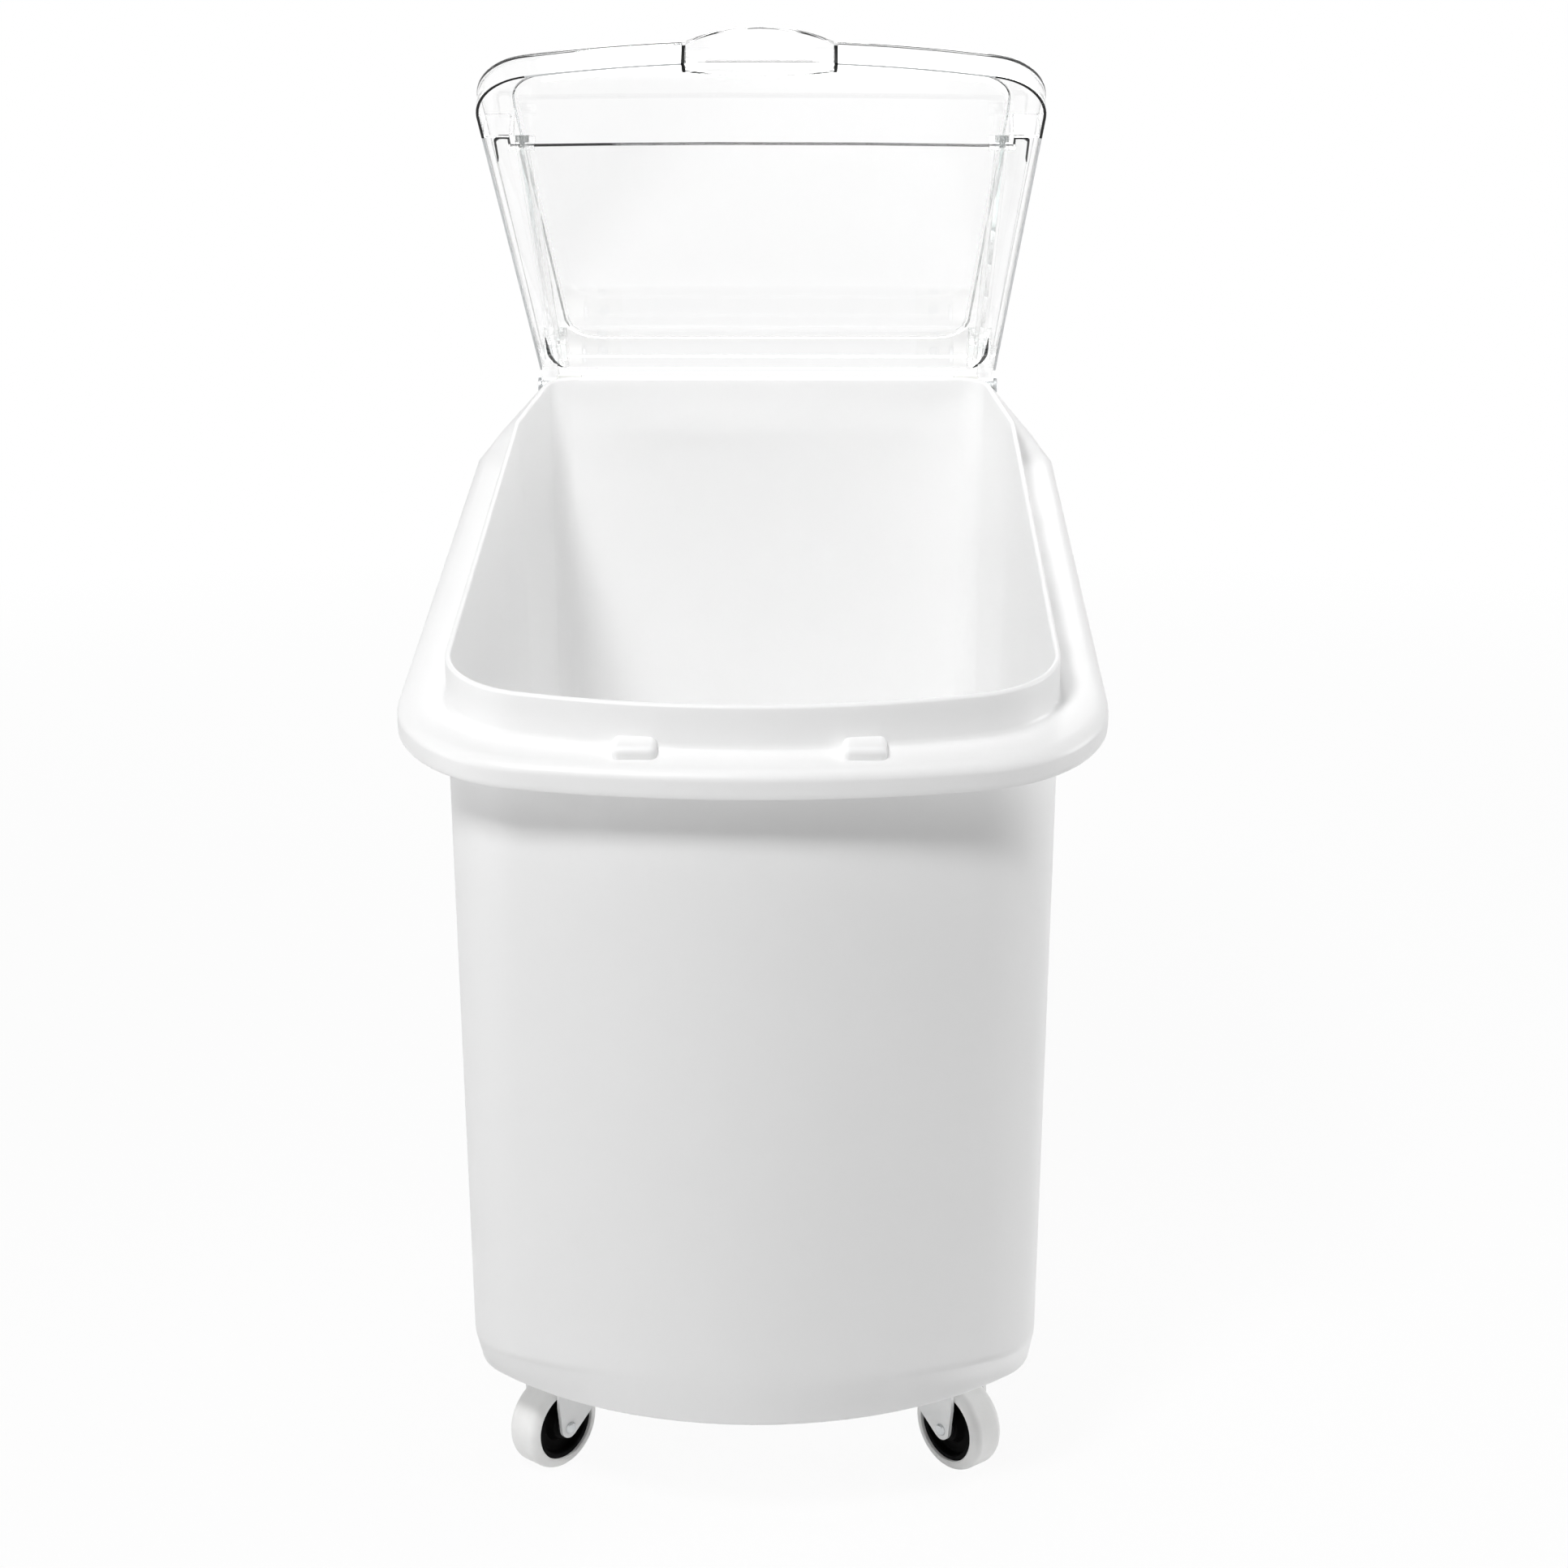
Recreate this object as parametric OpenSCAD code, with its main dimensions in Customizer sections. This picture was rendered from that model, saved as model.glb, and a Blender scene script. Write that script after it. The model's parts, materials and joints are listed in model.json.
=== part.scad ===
// Rolling flour bin: a slant-topped tub on four casters, with a clear lid whose front half slides back.
// Millimetres. +X is the bin's right, -Y its front, +Z up. The origin is on the ground, below the middle.

/* [Tub] */
// Overall depth, from the front of the flange to the rear of the ledge
bin_depth = 750; // [740:1:790]
// Overall width over the flange
flange_w = 465; // [455:1:490]
// How far the walls lean out on each side, from the heel to the lip
wall_flare = 7.5; // [6:0.5:14]
// How far the heel turns in on each side
heel_in = 2.5; // [1:0.5:12]
// Height of the heel band, where the wall turns under
heel_h = 32.5; // [20:0.5:50]
// Thickness of the walls
wall_t = 4; // [3:0.5:5]
// Thickness of the floor
floor_t = 10; // [9:0.5:14]
// Radius of the front wall's bow at the underside
floor_bow_r = 250; // [230:1:300]
// Radius of the front corners at the underside
floor_corner_r = 50; // [40:1:100]
// Radius of the front wall's bow above the heel
heel_bow_r = 390; // [320:1:450]
// Radius of the front corners above the heel
heel_corner_r = 60; // [50:1:100]
// How much less deep the underside is than the mouth
floor_rear_inset = 14; // [8:1:30]
// Radius of the rear corners
rear_corner_r = 24; // [14:1:34]

/* [Mouth] */
// Height of the lip at the front
lip_front_z = 586; // [560:1:610]
// Slope of the mouth, rising to the rear
mouth_slope = 11.25; // [9:0.25:13]
// How far in front of the rear lip the sides start to close in
kink_front = 116; // [100:1:150]
// How far each side closes in behind that
rear_close = 17.5; // [14:0.5:22]
// Height of the lip above the flange
lip_h = 25; // [20:1:30]
// Radius of the front lip's bow
lip_bow_r = 765; // [600:5:1200]
// Radius of the front corners of the lip
lip_corner_r = 75; // [60:1:90]

/* [Flange] */
// Reach of the flange in front of the lip
flange_reach = 28; // [22:1:32]
// Reach of the flange beside the lip
flange_side = 30; // [26:0.5:34]
// Height of the flange's turned-down edge
flange_h = 22; // [16:1:28]
// Rounding of the flange's upper edge
flange_edge_r = 10; // [6:1:12]
// How far in front of the rear lip the flange starts to run out
knee_front = 110; // [100:1:150]
// Width of a stop bump on the flange
bump_w = 28; // [20:1:36]
// Reach of a stop bump in front of the lip
bump_reach = 16; // [12:1:18]
// Height of a stop bump
bump_h = 9; // [6:1:14]
// Width over the two bumps
bumps_w = 172; // [130:1:210]

/* [Rear ledge] */
// Reach of the ledge behind the rear lip
ledge_reach = 67; // [60:1:76]
// Margin of the ledge beside a hinge lug
ledge_side = 4; // [3.5:0.5:8]
// Thickness of the ledge
ledge_t = 5; // [4:0.5:8]
// Depth of the ledge's turned-down rim
ledge_rim_h = 20; // [14:1:30]

/* [Hinge] */
// Distance of the hinge axis behind the rear lip
hinge_back = 24; // [23:0.5:30]
// Depth of the hinge axis below the plane of the mouth
hinge_drop = 14.9; // [13:0.1:18]
// Height of the hinge axis above the ledge
lug_h = 34; // [30:0.5:40]
// Thickness of the upright of a hinge lug
lug_t = 20; // [14:0.5:22]
// Outer radius of lugs and knuckles
knuckle_r = 9; // [7.5:0.5:10]
// Radius of a hinge pin
hinge_pin_r = 4; // [3:0.25:4.5]
// Thickness of a lid knuckle
knuckle_t = 13; // [10:0.5:15]
// Distance of a lug's outer face inside the side of the rear lip
lug_inset = 6; // [5:0.5:9]
// Length of a lug's foot
lug_foot_l = 50; // [44:1:60]
// Depth of a lug's foot
lug_foot_d = 34; // [28:1:36]
// Thickness of a lug's foot
lug_foot_t = 5; // [4:0.5:8]

/* [Lid] */
// Angle of the lid above its closed place, as shown
lid_open = 48.5; // [40:0.5:60]
// Gap between the closed rear panel and the lip
lid_gap = 0.4; // [0.3:0.1:1]
// Thickness of both lid panels
lid_t = 2.5; // [2:0.25:3.5]
// Margin of the rear panel in front of its rails
panel_margin = 5.2; // [3:0.1:8]
// Place of the rear panel's rear edge in front of the hinge
rear_panel_start = 2; // [0:0.5:8]
// Distance of the rear panel's front corners inside the lip
panel_inset = 3; // [2:0.5:6]
// Reach of the rear panel over the rear lip on each side
panel_lap = 4.5; // [3:0.5:6]
// Radius of the rear panel's rear corners
rear_panel_corner_r = 25; // [10:1:30]
// Width of a stop tab on the rear panel's front edge
tab_w = 12; // [8:0.5:14]
// Reach of a stop tab
tab_reach = 8; // [5:0.5:12]
// Share of the closed lid's length that the sliding panel takes
slider_share = 0.6032; // [0.58:0.01:0.64]
// Reach of the closed lid in front of the lip
lid_overhang = 14; // [10:0.5:16]
// Reach of the sliding panel behind the hinge, slid back
slider_tail = 10; // [4:0.5:12]
// Reach of the sliding panel over the lip on each side
slider_lap = 7.5; // [4:0.5:9]
// Distance of the rear panel's rear edge inside the sliding panel on each side
slider_room = 6; // [5:0.5:8]
// Height of the sliding panel with its skirt
skirt_h = 20; // [18:0.5:24]
// Radius of the sliding panel's front corners
slider_corner_r = 50; // [36:1:60]
// Radius of the bow of the sliding panel's front edge
slider_bow_r = 870; // [700:10:1200]
// Height of the embossed field
emboss_h = 2; // [1:0.25:3]
// Margin between the embossed field and the sides
emboss_side = 26.5; // [24:0.5:40]
// Margin between the embossed field and the front edge
emboss_front = 26; // [20:1:36]
// Place of the embossed field's rear edge in front of the hinge
emboss_rear = 20; // [10:1:30]
// Radius of the embossed field's corners
emboss_corner_r = 28; // [16:1:36]
// Width of the finger handle
handle_w = 107; // [90:1:130]
// Reach of the finger handle in front of the edge
handle_reach = 16; // [12:0.5:20]
// Thickness of the finger handle
handle_t = 3.5; // [2.5:0.25:5]
// Depth of the finger recess below the handle, behind the edge
recess_d = 9; // [6:0.5:12]

/* [Rails] */
// Distance of a rail's middle inside the sliding panel's rear corner
rail_inset = 15.5; // [15:0.25:18]
// Width of a rail's head
rail_head_w = 10; // [8:0.5:11]
// Height of a rail's head
rail_head_h = 5; // [4:0.25:6]
// Width of a rail's stem
rail_stem_w = 4; // [3:0.25:5]
// Height of a rail's stem
rail_stem_h = 5; // [4:0.25:6]
// Length of a guide shoe
shoe_l = 36; // [30:1:36]
// Width of a guide shoe
shoe_w = 20; // [17:0.5:21]
// Place of a shoe's rear end in front of the hinge, slid back
shoe_start = 2.5; // [2:0.5:6]
// Running gap between a shoe and its rail
shoe_gap = 0.3; // [0.2:0.05:0.5]

/* [Casters] */
// Wheel diameter
wheel_d = 65; // [60:1:68]
// Wheel width over the tyre
wheel_w = 27; // [22:0.5:28]
// Diameter of the wheel core
core_d = 50; // [42:0.5:52]
// Height from the axle to the underside of a fork's crown
fork_drop = 43; // [42:0.5:50]
// Sheet thickness of forks, crowns and plates
sheet_t = 3; // [2.5:0.25:4]
// Height of the swivel race
race_h = 8; // [6:0.5:10]
// Radius of the swivel race
race_r = 21; // [18:0.5:24]
// Trail of the axle behind the swivel axis
trail = 20; // [16:0.5:28]
// Reach of a swivel fork's legs in front of the swivel axis
leg_front = 30; // [26:0.5:34]
// Reach of a swivel fork's legs behind the swivel axis
leg_rear = 17; // [14:0.5:20]
// Height of the shoulders of a fork's legs above the axle
leg_shoulder = 18; // [14:0.5:26]
// Size of a square caster plate
plate_w = 62; // [56:1:70]
// Distance between the screws of a plate
plate_screws = 46; // [42:0.5:50]
// Radius of a kingpin
kingpin_r = 5; // [4:0.25:6]
// Radius of a wheel axle
axle_r = 3.5; // [3:0.25:4.5]
// Outer radius of a wheel bush
bush_r = 6.5; // [6:0.25:8]
// Distance of a front swivel axis inside the edge of the underside
front_caster_in = 60.5; // [56:0.5:86]
// Place of the front swivel axes behind the front lip
front_caster_back = 129.5; // [112:0.5:150]
// Turn of the front casters, as shown
swivel_turn = 41; // [0:1:90]
// Distance of a rear wheel inside the edge of the underside
rear_caster_in = 70.5; // [60:0.5:86]
// Place of the rear axles in front of the rear lip
rear_caster_front = 100; // [90:1:140]

/* [Fasteners] */
// Radius of a screw's shank
screw_r = 2.5; // [2:0.25:3]
// Radius of a screw's head
screw_head_r = 4.75; // [4.5:0.25:5.5]
// Height of a screw's head
screw_head_h = 3; // [2:0.25:3.5]
// Outer radius of a threaded insert
insert_r = 4; // [3.5:0.25:4.5]
// Length of a threaded insert
insert_l = 7; // [5:0.5:8]

/* [Hidden] */

// Fineness of round shapes
$fn = 64;
hull_fn = 32;
bow_steps = 10;
corner_steps = 10;
rear_steps = 5;
// Overrun of every cut, and thickness of the thin slices that a hull joins
over = 1;
slice = 0.2;
// Radial running clearance of pins and axles, loose clearance of screws and gap between neighbours
run_gap = 0.05;
loose_gap = 0.25;
side_gap = 0.3;
// Gap between a wheel and the legs of its fork
fork_gap = 1;

// Shares of small features in what carries them
cap_share = 0.75;
nut_h_share = 1.8;
nut_r_share = 1.9;
eye_share = 2.2;
head_r_share = 1.3;
head_h_share = 0.6;
king_head_share = 1.8;
king_h_share = 0.8;
flat_bow_share = 20;

// Sizes and places of the tub
lip_w = flange_w - 2 * flange_side;
heel_w = lip_w - 2 * wall_flare;
floor_w = heel_w - 2 * heel_in;
rear_lip_w = lip_w - 2 * rear_close;
lip_depth = bin_depth - flange_reach - ledge_reach;
lip_y = -bin_depth / 2 + flange_reach;
rear_lip_y = lip_y + lip_depth;
kink_y = rear_lip_y - kink_front;
knee_y = rear_lip_y - knee_front;
caster_h = fork_drop + sheet_t + race_h + sheet_t;
base_z = wheel_d / 2 + caster_h;
heel_z = base_z + heel_h;
mouth_rise = tan(mouth_slope);
rear_lip_z = lip_front_z + lip_depth * mouth_rise;
wall_top_z = rear_lip_z + lip_h;
span = 2 * bin_depth;

// Places of the hinge and the ledge
hinge_y = rear_lip_y + hinge_back;
hinge_z = lip_front_z + (hinge_y - lip_y) * mouth_rise - hinge_drop / cos(mouth_slope);
ledge_z = hinge_z - lug_h;
ledge_skin = wall_t;
lug_outer_x = rear_lip_w / 2 - lug_inset;
ledge_w = 2 * (lug_outer_x + ledge_side);
knuckle_x = lug_outer_x + side_gap;
pin_out_x = knuckle_x + knuckle_t + side_gap;
pin_in_x = lug_outer_x - lug_t - side_gap;
cap_r = knuckle_r - hinge_pin_r / 2;
cap_t = hinge_pin_r * cap_share;
lug_screw_x = lug_outer_x - lug_t - (lug_foot_l - lug_t) / 2;
lug_screw_y = lug_foot_d / 4;
nut_h = screw_r * nut_h_share;
nut_r = screw_r * nut_r_share;

// Heights in the lid, measured from the hinge axis square to the closed lid
panel_v = hinge_drop + lid_gap;
panel_top_v = panel_v + lid_t;
skirt_v = panel_top_v + lid_gap;
slider_top_v = skirt_v + skirt_h;
slider_in_v = slider_top_v - lid_t;

// Sizes and places of the lid, measured from the hinge axis to the front
lid_l = hinge_back + lip_depth + lid_overhang;
slider_l = lid_l * slider_share;
slide_travel = lid_l - slider_l;
rear_panel_front_w = lip_w - 2 * panel_inset;
rear_panel_rear_w = rear_lip_w + 2 * panel_lap;
slider_w = lip_w + 2 * slider_lap;
slider_rear_w = rear_panel_rear_w + 2 * slider_room;
slider_half = slider_w / 2 - slider_corner_r;
slider_kink = slider_bow_r - sqrt(pow(slider_bow_r - slider_corner_r, 2) - pow(slider_half, 2));
emboss_half = slider_w / 2 - emboss_side;
emboss_rear_half = slider_rear_w / 2 - emboss_side;
rail_x = slider_rear_w / 2 - rail_inset;
rail_top_v = panel_top_v + rail_stem_h + rail_head_h;
rail_stop_start = shoe_start + shoe_l + slide_travel + shoe_gap;
rail_stop_l = rail_stem_w;
rear_panel_l = rail_stop_start + rail_stop_l + panel_margin;
tab_x = rear_panel_front_w / 2 - tab_w;
tab_front = rear_panel_l + tab_reach;
pocket_t = lid_t;

// Places of the casters
front_caster_x = floor_w / 2 - front_caster_in;
rear_caster_x = floor_w / 2 - rear_caster_in;
front_caster_y = lip_y + front_caster_back;
rear_caster_y = rear_lip_y - rear_caster_front;
axle_z = wheel_d / 2;
fork_in = wheel_w / 2 + fork_gap;
fork_out = fork_in + sheet_t;
fork_eye_r = axle_r * eye_share;
axle_head_r = axle_r * head_r_share;
axle_head_h = axle_r * head_h_share;
hub_half = fork_in - side_gap;
core_rim_t = core_d / 12;
core_web_half = wheel_w / 5;
tyre_edge_r = wheel_w / 4;
king_head_r = kingpin_r * king_head_share;
king_head_h = kingpin_r * king_h_share;
plate_corner_r = plate_w / 8;

// Points of an arc about c, from one angle to another
function arc(c, r, from, to, steps) =
  [for (i = [0:steps]) c + r * [cos(from + (to - from) * i / steps), sin(from + (to - from) * i / steps)]];

// Mirrors the right half of an outline and joins the halves
function whole(half) = concat(half, [for (i = [len(half) - 1:-1:1]) [-half[i][0], half[i][1]]]);

// Outline with a bowed front, round front corners, sides that close in behind the kink, and a straight rear.
// a and ar are the half widths at the kink and at the rear
function plan(a, ar, front, kink, rear, corner_r, bow_r, rear_r) =
  let (corner_back = bow_r - sqrt(pow(bow_r - corner_r, 2) - pow(a - corner_r, 2)),
    lean = atan2(a - corner_r, bow_r - corner_back),
    close = atan2(a - ar, rear - kink),
    along = (rear - rear_r - kink + rear_r * sin(close)) / cos(close),
    rear_x = a - rear_r * cos(close) - along * sin(close))
  whole(concat(
    arc([0, front + bow_r], bow_r, -90, lean - 90, bow_steps),
    arc([a - corner_r, front + corner_back], corner_r, lean - 90, 0, corner_steps),
    [[a, kink]],
    arc([rear_x, rear - rear_r], rear_r, close, 90, rear_steps)));

// Outlines of the tub at three heights, t inside the outer face
function lip_plan(t) = plan(lip_w / 2 - t, rear_lip_w / 2 - t, lip_y + t, kink_y, rear_lip_y - t,
  lip_corner_r - t, lip_bow_r - t, rear_corner_r - t);
function heel_plan(t) = plan(heel_w / 2 - t, heel_w / 2 - lip_w / 2 + rear_lip_w / 2 - t, lip_y + t, kink_y,
  rear_lip_y - floor_rear_inset / 2 - t, heel_corner_r - t, heel_bow_r - t, rear_corner_r - t);
function floor_plan(t) = plan(floor_w / 2 - t, floor_w / 2 - lip_w / 2 + rear_lip_w / 2 - t, lip_y + t, kink_y,
  rear_lip_y - floor_rear_inset - t, floor_corner_r - t, floor_bow_r - t, rear_corner_r - t);
// Outline of the flange, t inside its outer edge
function flange_plan(t) = plan(flange_w / 2 - t, rear_lip_w / 2 + wall_t - t, lip_y - flange_reach + t,
  knee_y, rear_lip_y - wall_t - t, lip_corner_r + flange_reach - t, lip_bow_r + flange_reach - t,
  rear_corner_r - t);
// Outline of the sliding panel, t inside its skirt, with its rear edge at the given place
function slider_plan(t, rear) = plan(slider_w / 2 - t, slider_rear_w / 2 - t, t - slider_l,
  slider_kink - slider_l, rear, slider_corner_r - t, slider_bow_r - t, slider_corner_r / 10);

// A layer of an outline between two heights
module layer(points, low, high) {
  translate([0, 0, low]) linear_extrude(height = high - low) polygon(points);
}

// Everything between two planes parallel to the mouth
module mouth_slab(low, high) {
  translate([0, lip_y, lip_front_z]) rotate([mouth_slope, 0, 0])
    translate([-span / 2, -span / 2, low]) cube([span, span, high - low]);
}

// Places a child that is drawn with the hinge axis as origin and the lid flat
module lid_place() {
  translate([0, hinge_y, hinge_z]) rotate([mouth_slope - lid_open, 0, 0]) children();
}

// One layer of the flange, parallel to the mouth
module flange_layer(inset, low, high) {
  intersection() {
    layer(flange_plan(inset), 0, wall_top_z);
    mouth_slab(low, high);
  }
}

// Flange with a rounded upper edge, hollow below
module flange() {
  round_share = 0.3;
  top = -lip_h;
  low = -lip_h - flange_h;
  difference() {
    hull() {
      flange_layer(0, low, top - flange_edge_r);
      flange_layer(flange_edge_r * round_share, top - flange_edge_r, top - flange_edge_r * round_share);
      flange_layer(flange_edge_r, top - slice, top);
    }
    intersection() {
      layer(flange_plan(wall_t), 0, wall_top_z);
      mouth_slab(low - over, top - wall_t);
    }
  }
}

// Low stop on the flange, against the foot of the lip
module bump() {
  corner_share = 0.3;
  r = bump_h * corner_share;
  translate([0, lip_y, lip_front_z]) rotate([mouth_slope, 0, 0]) translate([0, 0, -lip_h - wall_t])
    hull() for (x = [r - bump_w / 2, bump_w / 2 - r], y = [r - bump_reach, bump_reach * corner_share])
      translate([x, y, 0]) {
        cylinder(r = r, h = bump_h + wall_t - r, $fn = hull_fn);
        translate([0, 0, bump_h + wall_t - r]) sphere(r = r, $fn = hull_fn);
      }
}

// Ledge behind the rear lip, hollow below
module ledge() {
  front = rear_lip_y - floor_rear_inset;
  rear = bin_depth / 2;
  difference() {
    translate([-ledge_w / 2, front, ledge_z - ledge_rim_h]) cube([ledge_w, rear - front, ledge_rim_h]);
    translate([ledge_skin - ledge_w / 2, front - over, ledge_z - ledge_rim_h - over])
      cube([ledge_w - 2 * ledge_skin, rear - front - ledge_skin + over, ledge_rim_h - ledge_t + over]);
    for (side = [-1, 1], y = [-lug_screw_y, lug_screw_y])
      translate([side * lug_screw_x, hinge_y + y, ledge_z - ledge_t - over])
        cylinder(r = screw_r + loose_gap, h = ledge_t + 2 * over);
  }
}

// Places a child at each screw of the front plates or of the rear forks
module at_plate_screws(x, y) {
  for (side = [-1, 1], dx = [-plate_screws / 2, plate_screws / 2], dy = [-plate_screws / 2, plate_screws / 2])
    translate([side * x + dx, y + dy, base_z]) children();
}

module tub() {
  color("white") difference() {
    union() {
      flange();
      ledge();
      for (side = [-1, 1]) translate([side * (bumps_w - bump_w) / 2, 0, 0]) bump();
      intersection() {
        hull() {
          layer(floor_plan(0), base_z, base_z + slice);
          layer(heel_plan(0), heel_z, heel_z + slice);
          layer(lip_plan(0), wall_top_z - slice, wall_top_z);
        }
        mouth_slab(-span, 0);
      }
    }
    hull() {
      layer(floor_plan(wall_t), base_z + floor_t, base_z + floor_t + slice);
      layer(heel_plan(wall_t), heel_z, heel_z + slice);
      layer(lip_plan(wall_t), wall_top_z, wall_top_z + slice);
    }
    at_plate_screws(front_caster_x, front_caster_y) insert_hole();
    at_plate_screws(rear_caster_x, rear_caster_y) insert_hole();
  }
}

// Blind hole in the floor for a threaded sleeve
module insert_hole() {
  translate([0, 0, -over]) cylinder(r = insert_r + run_gap, h = insert_l + over);
}

// Threaded brass sleeves in the floor
module base_inserts() {
  color("goldenrod") {
    at_plate_screws(front_caster_x, front_caster_y) insert();
    at_plate_screws(rear_caster_x, rear_caster_y) insert();
  }
}

module insert() {
  difference() {
    cylinder(r = insert_r, h = insert_l);
    translate([0, 0, -over]) cylinder(r = screw_r + run_gap, h = insert_l + 2 * over);
  }
}

// Screw through a plate below the floor, with its head at the bottom
module plate_screw() {
  translate([0, 0, -sheet_t - screw_head_h]) cylinder(r = screw_head_r, h = screw_head_h);
  translate([0, 0, -sheet_t - over]) cylinder(r = screw_r, h = sheet_t + insert_l + over - side_gap);
}

module caster_screws(x, y) {
  color("silver") at_plate_screws(x, y) plate_screw();
}

// Hinge lug: a foot on the ledge and an upright with a bore
module hinge_lug(side) {
  foot_in = lug_outer_x - lug_foot_l;
  upright_share = 0.36;
  color("whitesmoke") translate([0, hinge_y, ledge_z]) mirror([side < 0 ? 1 : 0, 0, 0]) difference() {
    union() {
      translate([foot_in, -lug_foot_d / 2, 0]) cube([lug_foot_l, lug_foot_d, lug_foot_t]);
      translate([lug_outer_x - lug_t, 0, 0]) rotate([90, 0, 90]) linear_extrude(height = lug_t) polygon(concat(
        [[-lug_foot_d * upright_share, 0], [lug_foot_d * upright_share, 0]],
        arc([0, lug_h], knuckle_r, 0, 180, 2 * corner_steps)));
    }
    translate([lug_outer_x - lug_t - over, 0, lug_h]) rotate([0, 90, 0])
      cylinder(r = hinge_pin_r + run_gap, h = lug_t + 2 * over);
    for (y = [-lug_screw_y, lug_screw_y])
      translate([lug_screw_x, y, -over]) cylinder(r = screw_r + loose_gap, h = lug_foot_t + 2 * over);
  }
}

// Hinge pin with a flat head on the outside
module hinge_pin(side) {
  color("silver") translate([0, hinge_y, hinge_z]) mirror([side < 0 ? 1 : 0, 0, 0]) rotate([0, 90, 0]) {
    translate([0, 0, pin_in_x - cap_t]) cylinder(r = hinge_pin_r, h = pin_out_x - pin_in_x + cap_t);
    translate([0, 0, pin_out_x]) cylinder(r = cap_r, h = cap_t);
  }
}

// Push-on cap that holds the pin's inner end
module hinge_cap(side) {
  color("silver") translate([0, hinge_y, hinge_z]) mirror([side < 0 ? 1 : 0, 0, 0]) rotate([0, 90, 0])
    translate([0, 0, pin_in_x - cap_t]) difference() {
      cylinder(r = cap_r, h = cap_t);
      translate([0, 0, -over]) cylinder(r = hinge_pin_r + run_gap, h = cap_t + 2 * over);
    }
}

// Places a child at each screw of the hinge lugs, on the ledge
module at_lug_screws() {
  for (side = [-1, 1], y = [-lug_screw_y, lug_screw_y])
    translate([side * lug_screw_x, hinge_y + y, ledge_z]) children();
}

module hinge_screws() {
  color("silver") at_lug_screws() {
    translate([0, 0, lug_foot_t]) cylinder(r = screw_head_r, h = screw_head_h);
    translate([0, 0, -ledge_t - nut_h]) cylinder(r = screw_r, h = nut_h + ledge_t + lug_foot_t + over);
  }
}

module hinge_nuts() {
  color("silver") at_lug_screws() translate([0, 0, -ledge_t - nut_h]) difference() {
    cylinder(r = nut_r, h = nut_h, $fn = 6);
    translate([0, 0, -over]) cylinder(r = screw_r + run_gap, h = nut_h + 2 * over);
  }
}

// Rear lid panel: a flat sheet with stop tabs in front and a knuckle at each rear corner
module rear_lid_panel() {
  flat_bow_r = flat_bow_share * rear_panel_l;
  web_front = knuckle_r + rear_panel_start;
  color("lightcyan", 0.5) lid_place() difference() {
    union() {
      layer(plan(rear_panel_front_w / 2, rear_panel_rear_w / 2, -rear_panel_l, tab_w - rear_panel_l,
        -rear_panel_start, tab_w / 2, flat_bow_r, rear_panel_corner_r), panel_v, panel_top_v);
      for (side = [-1, 1]) {
        layer([[side * tab_x, -tab_front], [side * (tab_x + tab_w - tab_reach / 2), -tab_front],
          [side * (tab_x + tab_w), tab_reach / 2 - tab_front],
          [side * (tab_x + tab_w), 2 * tab_w - rear_panel_l],
          [side * tab_x, 2 * tab_w - rear_panel_l]], panel_v, panel_top_v);
        mirror([side < 0 ? 1 : 0, 0, 0]) translate([knuckle_x, 0, 0]) {
          rotate([0, 90, 0]) cylinder(r = knuckle_r, h = knuckle_t);
          translate([0, -web_front, 0]) cube([knuckle_t, web_front + knuckle_r, panel_top_v]);
          translate([0, -web_front - rear_panel_corner_r, panel_v])
            cube([knuckle_t, rear_panel_corner_r + web_front, lid_t]);
        }
      }
    }
    for (side = [-1, 1]) mirror([side < 0 ? 1 : 0, 0, 0]) translate([knuckle_x - over, 0, 0])
      rotate([0, 90, 0]) cylinder(r = hinge_pin_r + run_gap, h = knuckle_t + 2 * over);
  }
}

// Guide rail on the rear panel, with an end stop in front
module rail(side) {
  foot = panel_top_v;
  neck = foot + rail_stem_h;
  color("lightcyan", 0.5) lid_place() translate([side * rail_x, 0, 0]) {
    translate([-rail_stem_w / 2, -rail_stop_start - rail_stop_l, foot])
      cube([rail_stem_w, rail_stop_start + rail_stop_l - shoe_start, rail_stem_h]);
    translate([-rail_head_w / 2, -rail_stop_start - rail_stop_l, neck])
      cube([rail_head_w, rail_stop_start + rail_stop_l - shoe_start, rail_head_h]);
    translate([-shoe_w / 2, -rail_stop_start - rail_stop_l, foot])
      cube([shoe_w, rail_stop_l, rail_top_v - foot]);
  }
}

// Guide shoe under the sliding panel, hooked round the head of the rail
module shoe(side) {
  low = panel_top_v + shoe_gap;
  neck = panel_top_v + rail_stem_h - shoe_gap;
  slot_w = rail_head_w + 2 * shoe_gap;
  stem_w = rail_stem_w + 2 * shoe_gap;
  color("whitesmoke") lid_place() translate([side * rail_x, -shoe_start - shoe_l, 0]) difference() {
    translate([-shoe_w / 2, 0, low]) cube([shoe_w, shoe_l, slider_in_v - low]);
    translate([-slot_w / 2, -over, neck]) cube([slot_w, shoe_l + 2 * over, rail_top_v + shoe_gap - neck]);
    translate([-stem_w / 2, -over, low - over]) cube([stem_w, shoe_l + 2 * over, neck - low + 2 * over]);
  }
}

// Outline of the finger handle, a bowed lip in front of the sliding panel's edge
handle_half = handle_w / 2;
handle_r = (pow(handle_half, 2) + pow(handle_reach, 2)) / (2 * handle_reach);
handle_swing = asin(handle_half / handle_r);
handle_plan = whole(concat(
  arc([0, handle_r - handle_reach - slider_l], handle_r, -90, handle_swing - 90, bow_steps),
  [[handle_half, recess_d - slider_l]]));

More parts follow.
